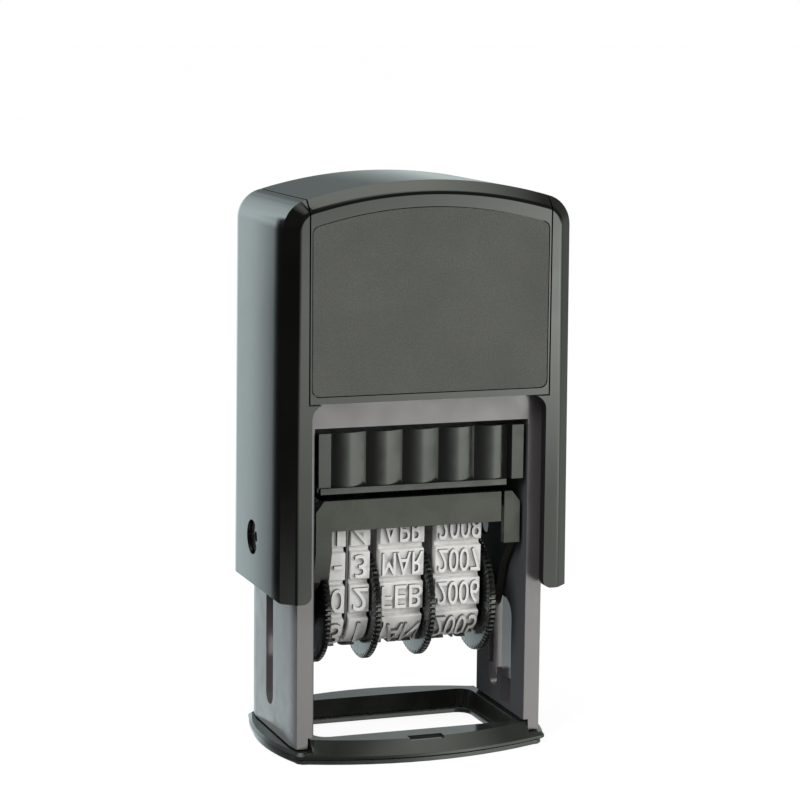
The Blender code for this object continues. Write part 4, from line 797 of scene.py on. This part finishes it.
def make_wheel(name, band, disc):
    """A thumb disc with a knurled rim and dished faces, on a hub that carries the band."""
    hub = HUB_RADIUS - HUB_IN_BAND
    if disc[0] < band[0]:
        out, inward, tip = disc[0], disc[1], band[1] + HUB_REACH
    else:
        out, inward, tip = disc[1], disc[0], band[0]
    step = 1 if inward > out else -1
    dished, chamfer = out + step * DISH_DEPTH, WHEEL_CHAMFER
    crest, root = WHEEL_RADIUS, WHEEL_RADIUS - TOOTH_DEPTH
    # Each ring of points has its X, its radius between the teeth and its radius on them
    sections = [
        (dished, WHEEL_BORE, WHEEL_BORE),
        (dished, BORE_RING[0] - RING_FLANK, BORE_RING[0] - RING_FLANK),
        (out, BORE_RING[0], BORE_RING[0]),
        (out, BORE_RING[1], BORE_RING[1]),
        (dished, BORE_RING[1] + RING_FLANK, BORE_RING[1] + RING_FLANK),
        (dished, RIM_RADIUS - RING_FLANK, RIM_RADIUS - RING_FLANK),
        (out, RIM_RADIUS, RIM_RADIUS),
        (out, root - chamfer, root - chamfer),
        (out + step * chamfer, root, crest - chamfer),
        (out + step * 2 * chamfer, root, crest),
        (inward - step * 2 * chamfer, root, crest),
        (inward - step * chamfer, root, crest - chamfer),
        (inward, root - chamfer, root - chamfer),
        (inward, hub, hub),
        (tip, hub, hub),
        (tip, WHEEL_BORE, WHEEL_BORE),
    ]
    bm = bmesh.new()
    rings = []
    for x, low, high in sections:
        ring = []
        for tooth in range(WHEEL_TEETH):
            for share, on_crest in TOOTH_PROFILE:
                angle = 2 * math.pi * (tooth + share) / WHEEL_TEETH
                radius = high if on_crest else low
                point = Vector((x, WHEEL_Y + radius * math.cos(angle), WHEEL_Z + radius * math.sin(angle)))
                ring.append(bm.verts.new(point * MM))
        rings.append(ring)
    wrap(bm, rings + rings[:1])
    bmesh.ops.recalc_face_normals(bm, faces=bm.faces)
    settle(name + "_knurled_wheel", bm, name + "_wheel", smooth=32)


# Frame

def make_frame():
    """The frame, with the wide round-topped recess low in its right leg that the base's latch springs into."""
    near, far = RECESS_Y
    low, high = RECESS_Z
    radius = RECESS_RADIUS
    outline = [(near, low), (far, low)] + arc((far - radius, high - radius), radius, 0, 90, CORNER_STEPS)
    outline += arc((near + radius, high - radius), radius, 90, 180, CORNER_STEPS)
    recess = tool("latch_recess", prism("X", outline, RECESS_X))
    refine("inner_frame", "slide_frame", extra=[("DIFFERENCE", recess)])


# Return spring

def make_spring():
    """A coil with closed, ground ends, on a mesh of its own."""
    low, high = SPRING_Z[0] + WIRE_RADIUS, SPRING_Z[1] - WIRE_RADIUS
    turns, per_turn, sides = SPRING_TURNS + 2 * CLOSED_TURNS, 40, 12
    count = int(turns * per_turn)
    closed = 2 * WIRE_RADIUS * CLOSED_TURNS
    bm = bmesh.new()
    rings = []
    for i in range(count + 1):
        turn = i / per_turn
        share = min(max((turn - CLOSED_TURNS) / SPRING_TURNS, 0.0), 1.0)
        height = low + min(turn, CLOSED_TURNS) / CLOSED_TURNS * closed + share * (high - low - 2 * closed)
        height += max(0.0, turn - (turns - CLOSED_TURNS)) / CLOSED_TURNS * closed
        angle = 2 * math.pi * turn
        out = Vector((math.cos(angle), math.sin(angle), 0))
        ring = []
        for k in range(sides):
            a = 2 * math.pi * k / sides
            point = out * (SPRING_RADIUS + WIRE_RADIUS * math.cos(a))
            point += Vector((0, 0, height + WIRE_RADIUS * math.sin(a)))
            ring.append(bm.verts.new(point * MM))
        rings.append(ring)
    wrap(bm, rings)
    bm.faces.new(rings[0])
    bm.faces.new(rings[-1])
    bmesh.ops.recalc_face_normals(bm, faces=bm.faces)
    coil = settle("coil_spring", bm, "return_spring", smooth=40)
    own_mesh(coil)


make_cap()
make_cartridge()
make_pad()
make_bands()
make_spring()
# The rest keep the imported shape: node, piece and how far its edges are broken
for node, name, bevel in (
    ("foot_rim", "foot_ring", 0.12),
    ("base_ring", "base_frame", 0.16),
    ("type_carrier", "carrier", 0.14),
    ("carrier_end_plate", "carrier_end", 0.14),
    ("band_bridge", "print_bridge", 0.08),
    ("band_divider", "divider_leaf", 0.04),
    ("text_block", "text_holder", 0.12),
    ("text_plate", "blank_text_die", 0.1),
    ("wheel_shaft", "steel_shaft", 0.08),
    ("pivot_pin_left", "left_pin", 0.1),
    ("pivot_pin_right", "right_pin", 0.1),
):
    refine(node, name, bevel)
make_frame()


# Floor, light and camera

# What gloss sees all round the stamp. Each row has the Z of its directions, then azimuths in degrees
# (0 is in front, 90 on the right) with their brightness
SIDE_GLOW = ((-180, 1.7), (-164.3, 1.7), (-163.6, 1.45), (-162.5, 1.18), (-161.7, 0.97), (-160.6, 0.85),
             (-159.7, 0.6), (-159.3, 0.4), (-155.8, 0.2), (-152.3, 0.05), (-148, 0.015))
PANORAMA = (
    (-0.277, ((-180, 1.6), (-160, 1.5), (-150, 0.35), (-128, 0.05), (-6, 0.06), (4, 0.2), (11, 0.6), (19, 1.5),
              (24, 2.1), (36, 3.2), (43, 2.0), (62, 1.6), (80, 0.4), (132, 0.35), (160, 0.5), (178, 1.4))),
    (-0.245, ((-180, 0.95), (-158, 0.85), (-148, 0.2), (-128, 0.05), (-95, 0.05), (-82, 0.7), (-62, 0.7), (-45, 0.06),
              (-10, 0.08), (3, 0.9), (14, 1.7), (20, 2.4), (62, 1.9), (80, 0.4), (132, 0.35), (160, 0.5),
              (178, 0.9))),
    (-0.217, SIDE_GLOW + ((-95, 0.05), (-82, 0.5), (-62, 0.5), (-45, 0.06), (-20, 0.06), (2, 0.9), (14, 1.35),
                          (18, 1.45), (23, 1.95), (62, 2.3), (80, 0.8), (132, 0.6), (160, 0.5), (178, 1.4))),
    (-0.186, SIDE_GLOW + ((-40, 0.03), (-30, 0.12), (-24, 0.3), (-13, 0.85), (2, 1.5), (12, 1.85), (20, 1.9),
                          (30, 2.2), (58, 3.1), (72, 2.9), (82, 1.2), (95, 0.65), (132, 0.58), (160, 0.5),
                          (178, 1.5))),
    (-0.157, SIDE_GLOW + ((-40, 0.03), (-30, 0.12), (-24, 0.3), (-13, 0.85), (2, 1.5), (12, 2.1), (17.6, 2.35),
                          (22.8, 3.7), (40, 3.8), (58, 3.1), (72, 2.9), (82, 1.2), (95, 0.62), (132, 0.55),
                          (160, 0.45), (178, 1.5))),
    (-0.122, SIDE_GLOW + ((-30, 0.04), (2, 1.2), (14, 2.3), (18, 2.7), (20.6, 3.4), (22.8, 5.6), (26, 6.4), (40, 6.0),
                          (62, 3.0), (80, 0.8), (95, 0.48), (132, 0.45), (160, 0.4), (178, 1.4))),
    (0.02, ((-180, 1.6), (-163, 1.8), (-157.5, 1.5), (-154, 0.5), (-150, 0.06), (-128, 0.03), (-10, 0.04), (10, 0.5),
            (60, 0.6), (80, 0.4), (132, 0.45), (158, 0.7), (170, 0.6), (178, 1.5))),
    (0.14, ((-180, 1.1), (-163, 1.8), (-157, 1.2), (-150, 0.15), (-120, 0.1), (-60, 0.05), (-2, 0.06), (45, 0.12),
            (120, 0.3), (145, 0.35), (161, 0.24), (171, 0.2), (178, 1.0))),
    (0.31, ((-180, 0.75), (-171, 1.25), (-160, 1.3), (-150, 0.3), (-120, 0.1), (-60, 0.05), (45, 0.12), (120, 0.25),
            (148, 0.8), (160, 0.8), (164, 0.4), (172, 0.34), (176, 0.6))),
    (0.46, ((-180, 0.4), (-160, 0.4), (-120, 0.1), (-60, 0.05), (45, 0.12), (120, 0.25), (150, 0.3), (178, 0.4))),
)
# The cool and warm cast of that light, by azimuth
CAST = ((-180, "#ecfdff"), (-120, "#ecfdff"), (-60, "#f9fff4"), (100, "#f9fff4"), (180, "#ecfdff"))
# The light overhead, by the X of the direction where it leans to the front, and even where it leans back
ROOF_LIGHT = ((-0.34, 1.5), (-0.24, 0.9), (-0.15, 0.12), (0.0, 0.1), (0.04, 0.35), (0.11, 0.95), (0.2, 1.7),
              (0.3, 2.6), (0.45, 3.1))
ROOF_BACK, ROOF_BACK_Y, ROOF_Z = 2.7, (-0.09, -0.05), (0.78, 0.95)
# The white table as gloss sees it: its brightness and where it takes over from the walls
TABLE_GLOW, TABLE_Z = 0.8, (-0.7, -0.4)
# The light that has no direction, and what the white table adds to itself where the camera looks at it
EVEN_LIGHT, FLOOR_GLOW, FLOOR_SHARE = 0.62, 1.06, 0.85
FLOOR_SIZE, FLOOR_DROP = 3.0, 0.00005
# Lamps: place, size and power
LAMP_AIM = (0, 0, 0.04)
LAMPS = {
    "key": ((-0.45, -0.3, 0.45), 0.35, 3.0),
    "front_fill": ((0.35, -0.55, 0.2), 0.4, 1.6),
}
# The photograph's camera, solved from the cap's, frame's and base's straight edges
CAMERA_AZIMUTH, CAMERA_PITCH, CAMERA_ROLL = 19.615, 9.037, 0.57
CAMERA_TARGET, CAMERA_DISTANCE = (0.000335, 0.0, 0.04843), 0.3939
FOCAL_PIXELS, PHOTO_PIXELS, SENSOR_WIDTH = 2791.8, 800, 36.0


def studio_world():
    """White behind the object, even light on it, and for gloss a white studio with dark flags."""
    world = bpy.data.worlds.new("studio")
    bpy.context.scene.world = world
    world.use_nodes = True
    tree = world.node_tree
    tree.nodes.clear()
    parts = add(tree, "SeparateXYZ", links={0: add(tree, "TexCoord")["Generated"]})
    ahead = add(tree, "Math", {"operation": "MULTIPLY", 1: -1.0}, {0: parts["Y"]})[0]
    turn = add(tree, "Math", {"operation": "ARCTAN2"}, {0: parts["X"], 1: ahead})[0]
    azimuth = add(tree, "MapRange", {1: -math.pi, 2: math.pi}, {0: turn})[0]
    walls, below = None, 0.0
    for height, row in PANORAMA:
        stops = [(0.5 + degrees / 360, level) for degrees, level in row]
        ring = add(tree, "ValToRGB", {"stops": stops}, {0: azimuth})[0]
        if walls:
            lift = add(tree, "MapRange", {1: below, 2: height}, {0: parts["Z"]})[0]
            ring = add(tree, "Mix", {"data_type": "RGBA"}, {0: lift, 6: walls, 7: ring})[2]
        walls, below = ring, height
    stops = [(0.5 + degrees / 360, colour) for degrees, colour in CAST]
    cast = add(tree, "ValToRGB", {"stops": stops}, {0: azimuth})[0]
    crown = add(tree, "MapRange", {1: ROOF_Z[0], 2: ROOF_Z[1]}, {0: parts["Z"]})[0]
    across = add(tree, "MapRange", {1: -0.5, 2: 0.5}, {0: parts["X"]})[0]
    roof = add(tree, "ValToRGB", {"stops": [(0.5 + x, level) for x, level in ROOF_LIGHT]}, {0: across})[0]
    behind = add(tree, "MapRange", {1: ROOF_BACK_Y[0], 2: ROOF_BACK_Y[1]}, {0: parts["Y"]})[0]
    plain = {"data_type": "RGBA", 7: (ROOF_BACK, ROOF_BACK, ROOF_BACK, 1.0)}
    roof = add(tree, "Mix", plain, {0: behind, 6: roof})[2]
    above = add(tree, "Mix", {"data_type": "RGBA"}, {0: crown, 6: walls, 7: roof})[2]
    tinted = {"data_type": "RGBA", "blend_type": "MULTIPLY", 0: 1.0}
    above = add(tree, "Mix", tinted, {6: above, 7: cast})[2]
    depth = add(tree, "MapRange", {1: TABLE_Z[0], 2: TABLE_Z[1], 3: 1.0, 4: 0.0}, {0: parts["Z"]})[0]
    table = {"data_type": "RGBA", 7: (TABLE_GLOW, TABLE_GLOW, TABLE_GLOW, 1.0)}
    studio = add(tree, "Mix", table, {0: depth, 6: above})[2]
    path = add(tree, "LightPath")
    gloss = add(tree, "Background", {"Strength": 1.0}, {"Color": studio})[0]
    even = add(tree, "Background", {"Color": linear("#ffffff"), "Strength": EVEN_LIGHT})[0]
    white = add(tree, "Background", {"Color": linear("#ffffff"), "Strength": 1.0})[0]
    lit = add(tree, "MixShader", links={0: path["Is Glossy Ray"], 1: even, 2: gloss})[0]
    seen = add(tree, "MixShader", links={0: path["Is Camera Ray"], 1: lit, 2: white})[0]
    add(tree, "OutputWorld", links={"Surface": seen})


def white_floor():
    """A white table that runs out of sight and keeps a light shadow."""
    bm = bmesh.new()
    bmesh.ops.create_grid(bm, x_segments=2, y_segments=2, size=FLOOR_SIZE)
    floor = put("floor", bm)
    floor.location = (0, 0, -FLOOR_DROP)
    made = bpy.data.materials.new("white_table")
    made.use_nodes = True
    tree = made.node_tree
    tree.nodes.clear()
    path = add(tree, "LightPath")
    greys = {"data_type": "RGBA", 6: linear("#858585"), 7: linear("#ffffff")}
    tone = add(tree, "Mix", greys, {0: path["Is Camera Ray"]})[2]
    matt = add(tree, "BsdfDiffuse", links={"Color": tone})[0]
    white = add(tree, "Emission", {"Color": linear("#ffffff"), "Strength": FLOOR_GLOW})[0]
    share = add(tree, "Math", {"operation": "MULTIPLY", 1: FLOOR_SHARE}, {0: path["Is Camera Ray"]})[0]
    blend = add(tree, "MixShader", links={0: share, 1: matt, 2: white})[0]
    add(tree, "OutputMaterial", links={"Surface": blend})
    floor.data.materials.append(made)
    floor.visible_glossy = False


def soft_box(name, place, size, power):
    """A square area lamp that looks at the stamp."""
    lamp = bpy.data.lights.new(name, "AREA")
    lamp.shape = "SQUARE"
    lamp.size = size
    lamp.energy = power
    obj = bpy.data.objects.new(name, lamp)
    obj.location = place
    obj.rotation_euler = (Vector(LAMP_AIM) - Vector(place)).to_track_quat("-Z", "Y").to_euler()
    obj.visible_glossy = False
    bpy.context.scene.collection.objects.link(obj)


def photo_camera():
    """The camera that took the photograph."""
    azimuth, pitch, roll = (math.radians(turn) for turn in (CAMERA_AZIMUTH, CAMERA_PITCH, CAMERA_ROLL))
    target = Vector(CAMERA_TARGET)
    ahead = Vector((math.sin(azimuth) * math.cos(pitch), math.cos(azimuth) * math.cos(pitch), -math.sin(pitch)))
    camera = bpy.data.cameras.new("camera")
    camera.sensor_width = SENSOR_WIDTH
    camera.lens = SENSOR_WIDTH * FOCAL_PIXELS / PHOTO_PIXELS
    camera.clip_start = 0.01
    obj = bpy.data.objects.new("camera", camera)
    look = ahead.to_track_quat("-Z", "Y").to_matrix().to_4x4()
    place = Matrix.Translation(target - ahead * CAMERA_DISTANCE)
    obj.matrix_world = place @ look @ Matrix.Rotation(roll, 4, "Z")
    bpy.context.scene.collection.objects.link(obj)
    bpy.context.scene.camera = obj


studio_world()
white_floor()
for name, (place, size, power) in LAMPS.items():
    soft_box(name, place, size, power)
photo_camera()
bpy.context.scene.view_settings.view_transform = "Standard"
